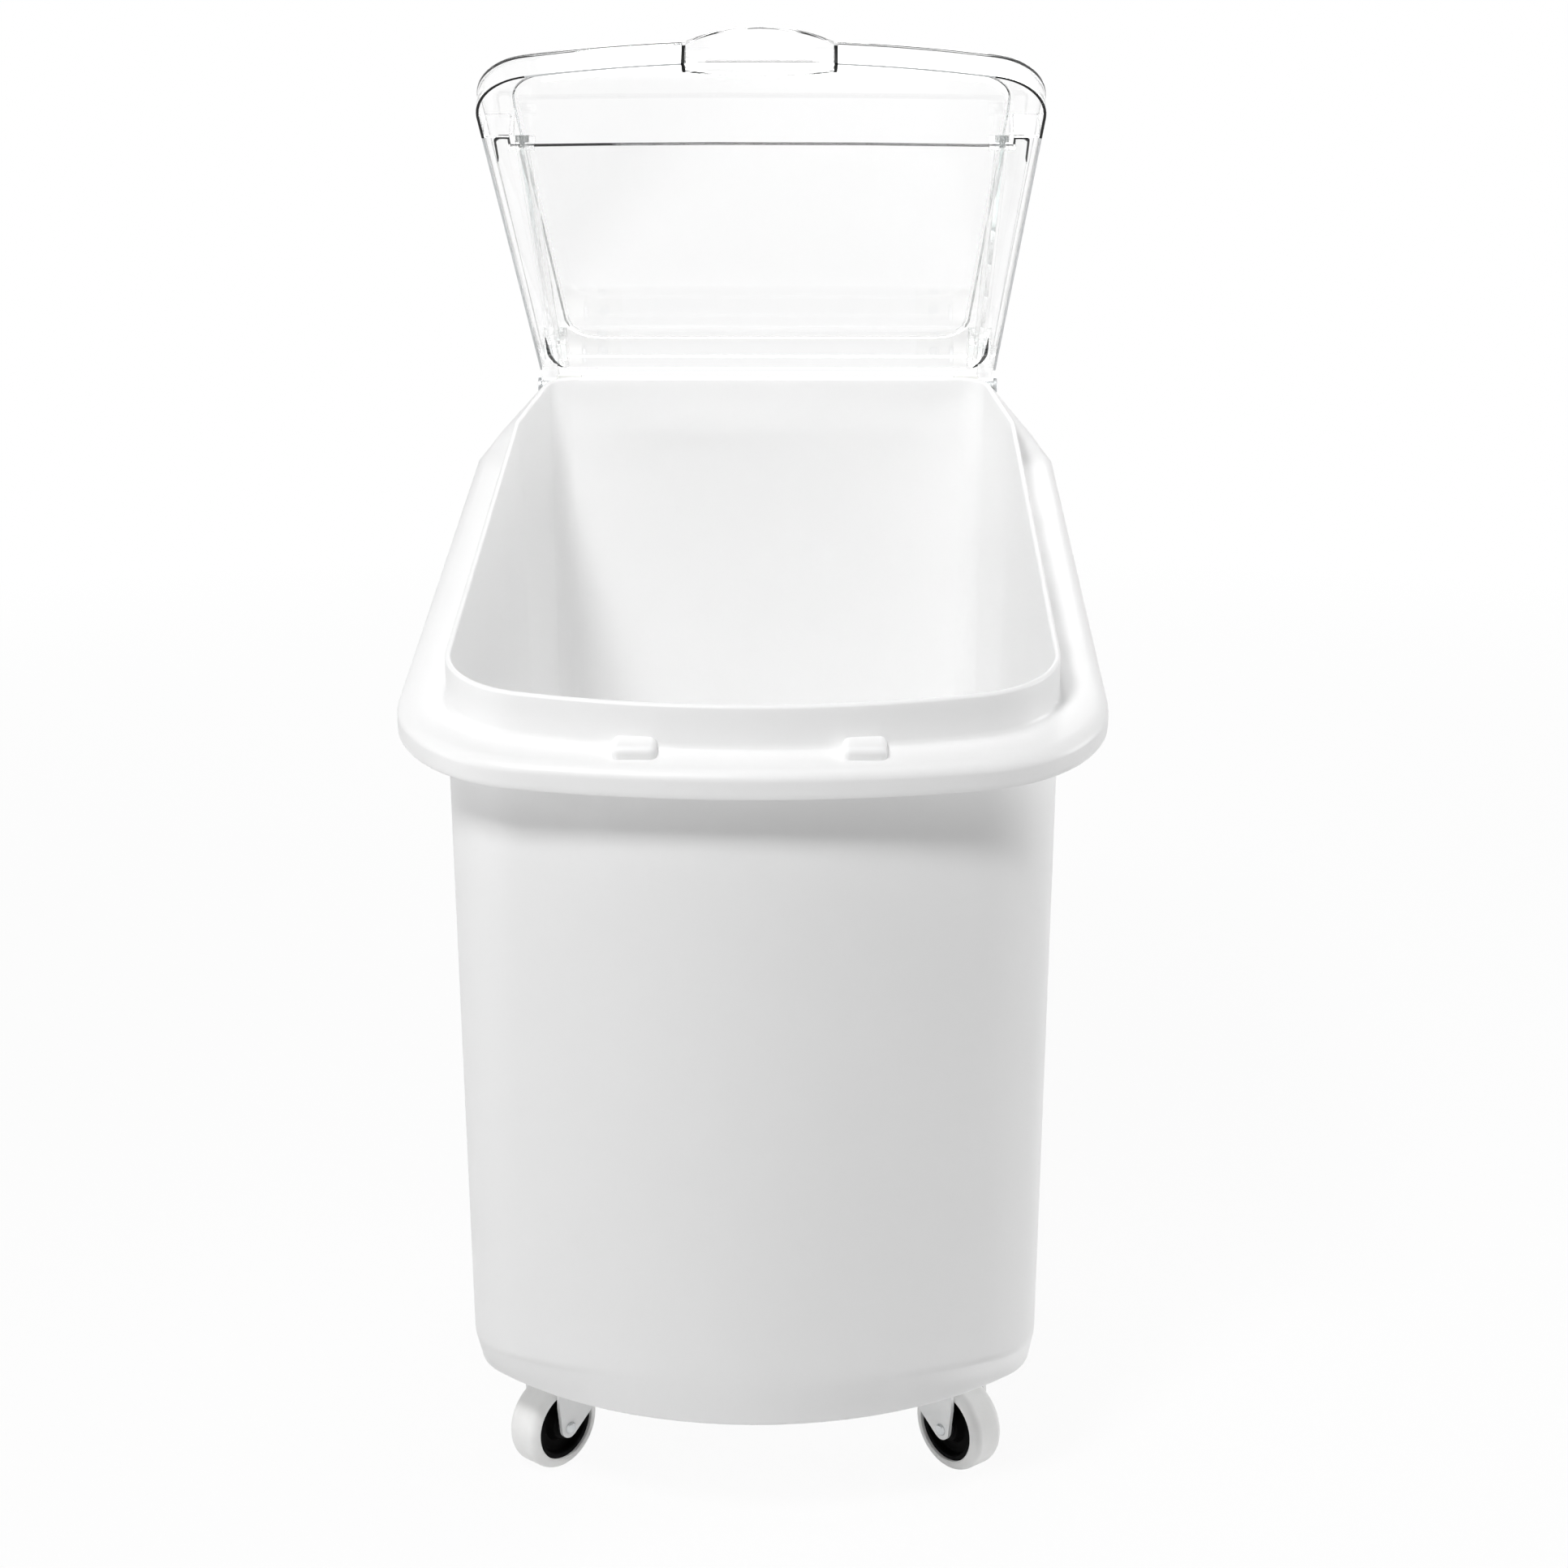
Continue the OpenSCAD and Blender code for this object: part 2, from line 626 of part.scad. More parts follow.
// Recess for the fingers below the handle, grown by the wall round it
module finger_recess(grow, low, high) {
  translate([-handle_half - grow, -slider_l - handle_reach - over, low])
    cube([handle_w + 2 * grow, handle_reach + over + recess_d + grow, high - low]);
}

// Sliding front panel: an upturned shallow tray with an embossed field, a finger handle and two stop pockets
module front_lid_slider() {
  field_front = slider_l - emboss_front;
  color("lightcyan", 0.5) lid_place() {
    difference() {
      union() {
        layer(slider_plan(0, slider_tail), skirt_v, slider_top_v);
        layer(handle_plan, slider_top_v - handle_t, slider_top_v);
        layer(field_plan(0, field_front), slider_top_v - over, slider_top_v + emboss_h);
      }
      difference() {
        layer(slider_plan(lid_t, slider_tail + slider_corner_r), skirt_v - over, slider_in_v);
        finger_recess(lid_t, skirt_v - 2 * over, slider_top_v);
      }
      finger_recess(0, skirt_v - over, slider_top_v - handle_t);
      layer(field_plan(lid_t, field_front), slider_in_v - over, slider_in_v + emboss_h);
    }
    for (side = [-1, 1]) pocket(side);
  }
}

// Outline of the embossed field, t inside its edge
function field_plan(t, front) =
  plan(emboss_half - t, emboss_rear_half - t, t - front, 2 * emboss_corner_r - front, -emboss_rear - t,
    emboss_corner_r - t, slider_bow_r, emboss_corner_r - t);

// Rib in front of and beside a stop tab, so that the tab stops the sliding panel
module pocket(side) {
  front = tab_front + shoe_gap;
  low = panel_v + lid_gap;
  inner = tab_x - side_gap - pocket_t;
  outer = slider_w / 2 - lid_t;
  mirror([side < 0 ? 1 : 0, 0, 0]) {
    translate([inner, -front - pocket_t, low]) cube([outer - inner, pocket_t, slider_in_v - low]);
    translate([inner, -front - pocket_t, skirt_v])
      cube([pocket_t, pocket_t + tab_reach, slider_in_v - skirt_v]);
  }
}

// Places a child at a front caster, with the swivel axis as origin on the ground
module front_caster(side) {
  translate([side * front_caster_x, front_caster_y, 0]) children();
}

// Turns a child with the fork: the axle trails outwards and forwards
module front_turn(side) {
  front_caster(side) rotate([0, 0, side * swivel_turn]) children();
}

// Places a child at a front wheel, with the axle along X through the origin
module front_wheel(side) {
  front_turn(side) translate([0, -trail, axle_z]) children();
}

module rear_wheel(side) {
  translate([side * rear_caster_x, rear_caster_y, axle_z]) children();
}

// Square plate with round corners and four screw holes
module plate(center_hole_r) {
  r = plate_corner_r;
  difference() {
    translate([0, 0, base_z - sheet_t]) linear_extrude(height = sheet_t)
      hull() for (x = [r - plate_w / 2, plate_w / 2 - r], y = [r - plate_w / 2, plate_w / 2 - r])
        translate([x, y]) circle(r = r, $fn = hull_fn);
    for (x = [-plate_screws / 2, plate_screws / 2], y = [-plate_screws / 2, plate_screws / 2])
      translate([x, y, base_z - sheet_t - over]) cylinder(r = screw_r + loose_gap, h = sheet_t + 2 * over);
    if (center_hole_r > 0)
      translate([0, 0, base_z - sheet_t - over]) cylinder(r = center_hole_r, h = sheet_t + 2 * over);
  }
}

module front_plate(side) {
  color("gainsboro") front_caster(side) plate(kingpin_r + run_gap);
}

// Kingpin, flush in the plate, with a head below the fork's crown
module kingpin(side) {
  low = base_z - caster_h + fork_drop - side_gap;
  color("silver") front_caster(side) {
    translate([0, 0, low]) cylinder(r = kingpin_r, h = base_z - low);
    translate([0, 0, low - king_head_h]) cylinder(r = king_head_r, h = king_head_h);
  }
}

// Swivel race between the plate and the crown
module race(side) {
  waist_share = 0.8;
  top = base_z - sheet_t - side_gap;
  low = base_z - sheet_t - race_h;
  color("silver") front_caster(side) rotate_extrude() polygon([
    [kingpin_r + run_gap, low], [race_r, low], [race_r, low + (top - low) / 2],
    [race_r * waist_share, top], [kingpin_r + run_gap, top]]);
}

// Outline of a fork leg from the crown to its shoulder and down to the eye, in the plane of the wheel
module leg_outline(top_from, top_to, height) {
  hull() {
    circle(r = fork_eye_r, $fn = hull_fn);
    translate([top_from, leg_shoulder]) square([top_to - top_from, height - leg_shoulder]);
  }
}

// Both legs of a fork, with the axle as origin
module legs(top_from, top_to, height) {
  difference() {
    for (x = [-fork_out, fork_in]) translate([x, 0, 0]) rotate([90, 0, 90])
      linear_extrude(height = sheet_t) leg_outline(top_from, top_to, height);
    translate([-fork_out - over, 0, 0]) rotate([0, 90, 0])
      cylinder(r = axle_r + run_gap, h = 2 * (fork_out + over));
  }
}

// Swivel fork: a round crown below the race, with two legs that reach to the trailing axle
module swivel_fork(side) {
  crown_z = axle_z + fork_drop;
  color("whitesmoke") front_turn(side) {
    difference() {
      union() {
        translate([0, 0, crown_z]) cylinder(r = race_r, h = sheet_t);
        translate([-fork_out, -leg_front, crown_z]) cube([2 * fork_out, leg_front + leg_rear, sheet_t]);
      }
      translate([0, 0, crown_z - over]) cylinder(r = kingpin_r + run_gap, h = sheet_t + 2 * over);
    }
    translate([0, -trail, axle_z]) legs(trail - leg_front, trail + leg_rear, fork_drop + sheet_t);
  }
}

// Rigid fork: a plate on the floor with two straight legs
module rigid_fork(side) {
  leg_half = plate_screws / 2 - screw_head_r - side_gap;
  color("whitesmoke") {
    translate([side * rear_caster_x, rear_caster_y, 0]) plate(0);
    rear_wheel(side) legs(-leg_half, leg_half, caster_h - sheet_t / 2);
  }
}

// Axle with a round head at each end, along X
module axle() {
  color("silver") rotate([0, 90, 0]) {
    translate([0, 0, -fork_out]) cylinder(r = axle_r, h = 2 * fork_out);
    for (end = [-1, 1]) mirror([0, 0, end < 0 ? 1 : 0]) translate([0, 0, fork_out])
      cylinder(r1 = axle_head_r, r2 = axle_r, h = axle_head_h);
  }
}

// Steel sleeve that the wheel turns with, round the axle
module bush() {
  color("gray") rotate([0, 90, 0]) translate([0, 0, -hub_half]) difference() {
    cylinder(r = bush_r, h = 2 * hub_half);
    translate([0, 0, -over]) cylinder(r = axle_r + run_gap, h = 2 * (hub_half + over));
  }
}

// Wheel core: a hub, a dished web and a rim
module core() {
  bore = bush_r + run_gap;
  hub = bush_r + core_rim_t;
  rim = core_d / 2 - core_rim_t;
  half = wheel_w / 2 - core_rim_t / 2;
  color("black") rotate([0, 90, 0]) rotate_extrude() polygon([
    [bore, -half], [hub, -half], [rim, -core_web_half], [rim, -half], [core_d / 2, -half],
    [core_d / 2, half], [rim, half], [rim, core_web_half], [hub, half], [bore, half]]);
}

// Tyre: a ring with round shoulders
module tyre() {
  inner = core_d / 2 + run_gap;
  outer = wheel_d / 2;
  half = wheel_w / 2;
  flat = half - tyre_edge_r;
  color("white") rotate([0, 90, 0]) rotate_extrude() polygon(concat(
    [[inner, -half]],
    arc([outer - tyre_edge_r, -flat], tyre_edge_r, -90, 0, rear_steps),
    arc([outer - tyre_edge_r, flat], tyre_edge_r, 0, 90, rear_steps),
    [[inner, half]]));
}

tub();
hinge_lug(-1);  // hinge_lug_left
hinge_lug(1);  // hinge_lug_right
hinge_pin(-1);  // hinge_pin_left
hinge_pin(1);  // hinge_pin_right
hinge_cap(-1);  // hinge_cap_left
hinge_cap(1);  // hinge_cap_right
hinge_screws();
hinge_nuts();
rear_lid_panel();
rail(-1);  // rail_left
rail(1);  // rail_right
front_lid_slider();
shoe(-1);  // shoe_left
shoe(1);  // shoe_right
base_inserts();
caster_screws(front_caster_x, front_caster_y);  // caster_screws_front
caster_screws(rear_caster_x, rear_caster_y);  // caster_screws_rear
front_plate(-1);  // front_left_plate
kingpin(-1);  // front_left_kingpin
race(-1);  // front_left_race
swivel_fork(-1);  // front_left_fork
front_wheel(-1) axle();  // front_left_axle
front_wheel(-1) bush();  // front_left_bush
front_wheel(-1) core();  // front_left_core
front_wheel(-1) tyre();  // front_left_tyre
front_plate(1);  // front_right_plate
kingpin(1);  // front_right_kingpin
race(1);  // front_right_race
swivel_fork(1);  // front_right_fork
front_wheel(1) axle();  // front_right_axle
front_wheel(1) bush();  // front_right_bush
front_wheel(1) core();  // front_right_core
front_wheel(1) tyre();  // front_right_tyre
rigid_fork(-1);  // rear_left_fork
rear_wheel(-1) axle();  // rear_left_axle
rear_wheel(-1) bush();  // rear_left_bush
rear_wheel(-1) core();  // rear_left_core
rear_wheel(-1) tyre();  // rear_left_tyre
rigid_fork(1);  // rear_right_fork
rear_wheel(1) axle();  // rear_right_axle
rear_wheel(1) bush();  // rear_right_bush
rear_wheel(1) core();  // rear_right_core
rear_wheel(1) tyre();  // rear_right_tyre
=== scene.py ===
# Rolling flour bin: moulded tub, clear two-panel lid and casters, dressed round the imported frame
import json
import math
import bmesh
import bpy
from mathutils import Matrix, Vector


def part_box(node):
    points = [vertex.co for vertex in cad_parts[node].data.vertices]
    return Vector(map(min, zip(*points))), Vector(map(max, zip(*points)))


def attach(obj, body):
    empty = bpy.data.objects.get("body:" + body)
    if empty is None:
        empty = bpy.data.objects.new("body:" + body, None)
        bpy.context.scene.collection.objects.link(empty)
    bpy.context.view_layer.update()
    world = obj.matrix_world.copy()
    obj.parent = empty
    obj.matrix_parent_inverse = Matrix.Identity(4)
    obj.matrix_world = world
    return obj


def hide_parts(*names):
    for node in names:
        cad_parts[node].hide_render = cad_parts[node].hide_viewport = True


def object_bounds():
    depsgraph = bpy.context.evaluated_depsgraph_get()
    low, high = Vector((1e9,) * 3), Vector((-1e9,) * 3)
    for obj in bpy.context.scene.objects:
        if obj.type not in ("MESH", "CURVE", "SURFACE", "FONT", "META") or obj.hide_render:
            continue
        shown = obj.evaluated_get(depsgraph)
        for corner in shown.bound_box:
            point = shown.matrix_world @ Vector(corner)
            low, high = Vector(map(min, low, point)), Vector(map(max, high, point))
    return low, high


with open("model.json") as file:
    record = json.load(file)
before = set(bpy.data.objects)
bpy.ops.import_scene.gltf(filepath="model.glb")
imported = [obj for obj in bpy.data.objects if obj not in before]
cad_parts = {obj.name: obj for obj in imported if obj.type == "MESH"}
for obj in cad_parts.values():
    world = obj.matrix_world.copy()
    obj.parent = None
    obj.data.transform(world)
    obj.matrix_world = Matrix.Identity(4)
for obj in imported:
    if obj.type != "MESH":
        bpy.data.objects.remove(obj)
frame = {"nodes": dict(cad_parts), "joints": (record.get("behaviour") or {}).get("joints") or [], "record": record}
nodes = frame["nodes"]
bodyOf = {n: body for body, names in frame["record"]["behaviour"]["bodies"].items() for n in names}
jointPlace = {j["name"]: Vector(j["pos_m"]) for j in frame["joints"] if "pos_m" in j}
jointAxis = {j["name"]: Vector(j["axis"]) for j in frame["joints"]}
cadBox = [list(corner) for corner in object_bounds()]
print("frame loaded,", len(nodes), "nodes")


# sRGB hex to linear colour
def linear(hexText):
    parts = [int(hexText[i:i + 2], 16) / 255 for i in (1, 3, 5)]
    return [c / 12.92 if c <= 0.04045 else ((c + 0.055) / 1.055) ** 2.4 for c in parts] + [1]


# adds one node, with its settings, its fixed values and its links
def addNode(tree, kind, inputs=None, **settings):
    made = tree.nodes.new(kind)
    for name, value in settings.items():
        setattr(made, name, value)
    for name, value in (inputs or {}).items():
        if isinstance(value, bpy.types.NodeSocket):
            tree.links.new(value, made.inputs[name])
        else:
            made.inputs[name].default_value = value
    return made


def startMaterial(name):
    material = bpy.data.materials.new(name)
    material.use_nodes = True
    tree = material.node_tree
    place = addNode(tree, "ShaderNodeTexCoord").outputs["Object"]
    return material, tree, tree.nodes["Principled BSDF"], place


# two colours mixed by a noise of the given size in mm
def mottle(tree, place, sizeMm, low, high):
    noise = addNode(tree, "ShaderNodeTexNoise", {"Vector": place, "Scale": 1000 / sizeMm, "Detail": 3})
    ramp = addNode(tree, "ShaderNodeValToRGB", {"Fac": noise.outputs["Fac"]})
    ramp.color_ramp.elements[0].position = 0.32
    ramp.color_ramp.elements[1].position = 0.68
    ramp.color_ramp.elements[0].color = low
    ramp.color_ramp.elements[1].color = high
    return ramp.outputs["Color"]


# fine grain over slow waves, both in mm, as one bump
def grain(tree, place, grainMm, grainDepth, waveMm, waveDepth):
    fine = addNode(tree, "ShaderNodeTexNoise", {"Vector": place, "Scale": 1000 / grainMm, "Detail": 2})
    slow = addNode(tree, "ShaderNodeTexNoise", {"Vector": place, "Scale": 1000 / waveMm, "Detail": 1})
    wave = addNode(tree, "ShaderNodeBump", {"Height": slow.outputs["Fac"], "Distance": waveDepth / 1000,
                                            "Strength": 1})
    both = addNode(tree, "ShaderNodeBump", {"Height": fine.outputs["Fac"], "Distance": grainDepth / 1000,
                                            "Strength": 1, "Normal": wave.outputs["Normal"]})
    return both.outputs["Normal"]


def grey(value):
    return [value, value, value, 1]


# Materials

# polyethylene, rotationally moulded: satin white, a little cloudy, with a fine orange peel and slow waves
polyethyleneFinish = {
    "low": "#fafafa", "high": "#fdfdfd", "cloudMm": 140, "gloss": (0.36, 0.46), "glossMm": 35,
    "peelMm": 2.2, "peelDepthMm": 0.035, "waveMm": 75, "waveDepthMm": 0.5,
    "ior": 1.51, "glowDepth": 0.0022,
}


def makePolyethylene(f):
    material, tree, shader, place = startMaterial("mouldedPolyethylene")
    cloud = mottle(tree, place, f["cloudMm"], linear(f["low"]), linear(f["high"]))
    gloss = mottle(tree, place, f["glossMm"], *(grey(value) for value in f["gloss"]))
    peel = grain(tree, place, f["peelMm"], f["peelDepthMm"], f["waveMm"], f["waveDepthMm"])
    tree.links.new(cloud, shader.inputs["Base Color"])
    tree.links.new(gloss, shader.inputs["Roughness"])
    tree.links.new(peel, shader.inputs["Normal"])
    shader.inputs["IOR"].default_value = f["ior"]
    shader.inputs["Subsurface Weight"].default_value = 1
    shader.inputs["Subsurface Radius"].default_value = (1, 1, 1)
    shader.inputs["Subsurface Scale"].default_value = f["glowDepth"]
    return material


# polycarbonate sheet, moulded and polished: clear, a trace of grey; its dark cut edges are painted shade, made by
# the edge materials below
polycarbonateFinish = {
    "tint": "#ffffff", "depthTint": "#d4dad9", "density": 2, "throughTint": "#f7f7f7",
    "ior": 1.585, "rough": 0.02,
    "rippleMm": 9, "rippleDepthMm": 0.002, "waveMm": 90, "waveDepthMm": 0.03, "edgeMm": 25, "edgeRough": 0.22,
}


def makePolycarbonate(f):
    material, tree, shader, place = startMaterial("clearPolycarbonate")
    output = tree.nodes["Material Output"]
    shader.inputs["Base Color"].default_value = linear(f["tint"])
    shader.inputs["Transmission Weight"].default_value = 1
    shader.inputs["IOR"].default_value = f["ior"]
    shader.inputs["Roughness"].default_value = f["rough"]
    ripple = grain(tree, place, f["rippleMm"], f["rippleDepthMm"], f["waveMm"], f["waveDepthMm"])
    tree.links.new(ripple, shader.inputs["Normal"])
    absorb = addNode(tree, "ShaderNodeVolumeAbsorption", {"Color": linear(f["depthTint"]),
                                                          "Density": f["density"]})
    tree.links.new(absorb.outputs["Volume"], output.inputs["Volume"])
    # lamp light goes straight through the sheet and loses a little at each face
    path = addNode(tree, "ShaderNodeLightPath")
    clear = addNode(tree, "ShaderNodeBsdfTransparent", {"Color": linear(f["throughTint"])})
    mix = addNode(tree, "ShaderNodeMixShader", {0: path.outputs["Is Shadow Ray"], 1: shader.outputs["BSDF"],
                                                2: clear.outputs["BSDF"]})
    tree.links.new(mix.outputs[0], output.inputs["Surface"])
    return material


# painted shade for the sheet's cut edges: a flat mottled colour standing in for the dark lines that refraction
# shows along clear edges
def makePaintedEdgeShade(name, low, high, f, specular=0.5):
    material, tree, shader, place = startMaterial(name)
    tree.links.new(mottle(tree, place, f["edgeMm"], linear(low), linear(high)), shader.inputs["Base Color"])
    shader.inputs["Roughness"].default_value = f["edgeRough"]
    shader.inputs["IOR"].default_value = f["ior"]
    shader.inputs["Specular IOR Level"].default_value = specular
    return material


# plain solids share one make-up: mottled colour, uneven gloss and a grain
solidFinish = {"colourMm": 12, "glossMm": 6, "glossShares": (0.85, 1.15), "waveMm": 15}


def makeSolid(name, low, high, rough, grainMm, grainDepth, metal=0.0, specular=0.5):
    f = solidFinish
    material, tree, shader, place = startMaterial(name)
    colour = mottle(tree, place, f["colourMm"], linear(low), linear(high))
    gloss = mottle(tree, place, f["glossMm"], *(grey(rough * share) for share in f["glossShares"]))
    skin = grain(tree, place, grainMm, grainDepth, f["waveMm"], grainDepth)
    tree.links.new(colour, shader.inputs["Base Color"])
    tree.links.new(gloss, shader.inputs["Roughness"])
    tree.links.new(skin, shader.inputs["Normal"])
    shader.inputs["Metallic"].default_value = metal
    shader.inputs["Specular IOR Level"].default_value = specular
    return material


polyethylene = makePolyethylene(polyethyleneFinish)
polycarbonate = makePolycarbonate(polycarbonateFinish)
# painted shade: nearly black for the edge lines, and a pale grey painted band along the skirt's free edge
paintedDarkEdge = makePaintedEdgeShade("polycarbonatePaintedDarkEdge", "#050506", "#0c0d0d", polycarbonateFinish, specular=0.15)
paintedGreyEdge = makePaintedEdgeShade("polycarbonatePaintedGreyEdge", "#d6d9da", "#e2e4e5", polycarbonateFinish)
# acetal, moulded: slick white bearing plastic
acetal = makeSolid("whiteAcetal", "#e9e9e5", "#f0f0ed", 0.32, 1.2, 0.01)
# zinc on steel: bright, faintly spangled
zincSteel = makeSolid("zincPlatedSteel", "#b9bcbe", "#cfd1d2", 0.3, 2.5, 0.01, metal=1.0)
# powder coat on pressed steel: white with a low orange peel
coatedSteel = makeSolid("powderCoatedSteel", "#f4f5f5", "#f9f9f9", 0.36, 1.6, 0.02)
# brass, turned: warm yellow with a soft sheen
brass = makeSolid("turnedBrass", "#b08d4c", "#c2a05c", 0.3, 1.5, 0.01, metal=1.0)
# polypropylene, black, moulded with a fine spark texture: deep and dull
polypropylene = makeSolid("blackPolypropylene", "#040404", "#080808", 0.6, 1.0, 0.03, specular=0.05)
# thermoplastic rubber, off-white: dull, with a fine skin
tyreRubber = makeSolid("paleTyreRubber", "#f4f4f3", "#f9f9f8", 0.62, 1.3, 0.03)
print("materials made")


# Tools for the pieces

mergeDistance = 0.00001  # points nearer than this are one
roundAngles = dict(flat=0.6, sharp=40, shade=30)  # degrees: merged as flat, rounded over, shaded as an edge


def pickOnly(piece):
    bpy.ops.object.select_all(action="DESELECT")
    piece.select_set(True)
    bpy.context.view_layer.objects.active = piece


def editAll(piece):
    pickOnly(piece)
    bpy.ops.object.mode_set(mode="EDIT")
    bpy.ops.mesh.select_mode(type="VERT")
    bpy.ops.mesh.select_all(action="SELECT")


def applyModifier(piece, kind, **settings):
    pickOnly(piece)
    made = piece.modifiers.new(kind.lower(), kind)
    for name, value in settings.items():
        setattr(made, name, value)
    bpy.ops.object.modifier_apply(modifier=made.name)


def smooth(piece, degrees):
    pickOnly(piece)
    bpy.ops.object.shade_smooth_by_angle(angle=math.radians(degrees))
    applyModifier(piece, "WEIGHTED_NORMAL", keep_sharp=True, weight=80)


# puts a piece that was drawn flat into its place, and keeps its object at the origin
def settle(piece, matrix):
    pickOnly(piece)
    piece.matrix_world = matrix
    bpy.ops.object.transform_apply(location=True, rotation=True, scale=True)


def joinPieces(main, *others):
    bpy.ops.object.select_all(action="DESELECT")
    for piece in (main, *others):
        piece.select_set(True)
    bpy.context.view_layer.objects.active = main
    bpy.ops.object.join()


def dress(piece, body, slotName, *materials):
    piece.data.materials.clear()
    for material in materials:
        piece.data.materials.append(material)
    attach(piece, body)


# right half of an outline: bowed front, round front corners, straight sides, closing sides, rear corner, rear
def halfOutline(o, counts):
    half, corner, bow, rearR = o["half"], o["cornerR"], o["bowR"], o["rearR"]
    cornerBack = bow - math.sqrt((bow - corner) ** 2 - (half - corner) ** 2)
    lean = math.atan2(half - corner, bow - cornerBack)
    closing = math.atan2(half - o["rearHalf"], o["rear"] - o["kink"])
    along = (o["rear"] - rearR - o["kink"] + rearR * math.sin(closing)) / math.cos(closing)
    rearX = half - rearR * math.cos(closing) - along * math.sin(closing)
    if isinstance(counts["bow"], list):
        bowAngles = [math.asin(x / bow) for x in counts["bow"]] + [lean]
    else:
        bowAngles = [lean * i / counts["bow"] for i in range(counts["bow"] + 1)]
    points = [(bow * math.sin(a), o["front"] + bow - bow * math.cos(a)) for a in bowAngles]
    for i in range(1, counts["corner"] + 1):
        a = lean - math.pi / 2 + (math.pi / 2 - lean) * i / counts["corner"]
        points.append((half - corner + corner * math.cos(a), o["front"] + cornerBack + corner * math.sin(a)))
    sideStart = points[-1]
    for i in range(1, counts["side"] + 1):
        points.append((half, sideStart[1] + (o["kink"] - sideStart[1]) * i / counts["side"]))
    closeStart = points[-1]
    closeEnd = (rearX + rearR * math.cos(closing), o["rear"] - rearR + rearR * math.sin(closing))
    for i in range(1, counts["close"] + 1):
        s = i / counts["close"]
        points.append(tuple(p + (q - p) * s for p, q in zip(closeStart, closeEnd)))
    for i in range(1, counts["rear"] + 1):
        a = closing + (math.pi / 2 - closing) * i / counts["rear"]
        points.append((rearX + rearR * math.cos(a), o["rear"] - rearR + rearR * math.sin(a)))
    for i in range(1, counts["back"] + 1):
        points.append((rearX * (1 - i / counts["back"]), o["rear"]))
    return points


def wholeOutline(o, counts):
    right = halfOutline(o, counts)
    return right + [(-x, y) for x, y in reversed(right[1:-1])]


# the same outline, moved in by the given amount
def inside(o, t):
    return dict(o, half=o["half"] - t, rearHalf=o["rearHalf"] - t, front=o["front"] + t, rear=o["rear"] - t,
                cornerR=o["cornerR"] - t, bowR=o["bowR"] - t, rearR=o["rearR"] - t)


# a closed skin: a circle put on the first ring, then its edge extruded ring by ring, and both ends filled
def growSkin(name, rings):
    bpy.ops.object.select_all(action="DESELECT")
    bpy.ops.mesh.primitive_circle_add(vertices=len(rings[0]), radius=0.1)
    skin = bpy.context.object
    skin.name = name
    skin.data.name = name
    editAll(skin)
    mesh = bmesh.from_edit_mesh(skin.data)
    order = mesh.verts.layers.int.new("order")
    for i, v in enumerate(mesh.verts):
        v[order] = i
        v.co = rings[0][i]
    bmesh.update_edit_mesh(skin.data)
    for ring in rings[1:]:
        bpy.ops.mesh.extrude_edges_move()
        mesh = bmesh.from_edit_mesh(skin.data)
        order = mesh.verts.layers.int["order"]
        for v in mesh.verts:
            if v.select:
                v.co = ring[v[order]]
        bmesh.update_edit_mesh(skin.data)
    bpy.ops.mesh.select_all(action="SELECT")
    bpy.ops.mesh.fill_holes(sides=0)
    bpy.ops.mesh.select_all(action="SELECT")
    bpy.ops.mesh.normals_make_consistent(inside=False)
    bpy.ops.object.mode_set(mode="OBJECT")
    skin.data.attributes.remove(skin.data.attributes["order"])
    return skin


# a closed profile of (radius, offset) pairs, spun round X
def spinProfile(name, profile, steps):
    bpy.ops.object.select_all(action="DESELECT")
    bpy.ops.mesh.primitive_circle_add(vertices=len(profile), radius=0.1)
    ring = bpy.context.object
    ring.name = name
    ring.data.name = name
    for v, (radius, offset) in zip(ring.data.vertices, profile):
        v.co = (offset, 0, radius)
    editAll(ring)
    bpy.ops.mesh.spin(steps=steps, angle=math.radians(360), center=(0, 0, 0), axis=(1, 0, 0))
    bpy.ops.mesh.select_all(action="SELECT")
    bpy.ops.mesh.remove_doubles(threshold=mergeDistance)
    bpy.ops.mesh.normals_make_consistent(inside=False)
    bpy.ops.object.mode_set(mode="OBJECT")
    return ring


# a block with rounded edges between two corners
def roundedBlock(name, low, high, radius, segments):
    bpy.ops.object.select_all(action="DESELECT")
    bpy.ops.mesh.primitive_cube_add(size=1, location=[(a + b) / 2 for a, b in zip(low, high)],
                                    scale=[b - a for a, b in zip(low, high)])
    block = bpy.context.object
    block.name = name
    block.data.name = name
    bpy.ops.object.transform_apply(location=True, rotation=True, scale=True)
    editAll(block)
    bpy.ops.mesh.bevel(offset=radius, segments=segments, affect="EDGES")
    bpy.ops.object.mode_set(mode="OBJECT")
    return block


# a merged copy of a CAD node with its sharp edges rounded over
def roundOver(nodeName, radius, segments, slotName, material):
    piece = bpy.data.objects.new(nodeName + "Rounded", nodes[nodeName].data.copy())
    bpy.context.scene.collection.objects.link(piece)
    editAll(piece)
    bpy.ops.mesh.remove_doubles(threshold=mergeDistance)
    bpy.ops.mesh.dissolve_limited(angle_limit=math.radians(roundAngles["flat"]))
    bpy.ops.object.mode_set(mode="OBJECT")
    applyModifier(piece, "BEVEL", width=radius, segments=segments, limit_method="ANGLE",
                  angle_limit=math.radians(roundAngles["sharp"]))
    smooth(piece, roundAngles["shade"])
    dress(piece, bodyOf[nodeName], slotName, material)
    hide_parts(nodeName)
    return piece


def blend(a, b, s):
    return tuple(p + (q - p) * s for p, q in zip(a, b))


# quarter turn from a to c, round the corner b
def corner(a, b, c, s):
    return blend(blend(a, b, s), blend(b, c, s), s)


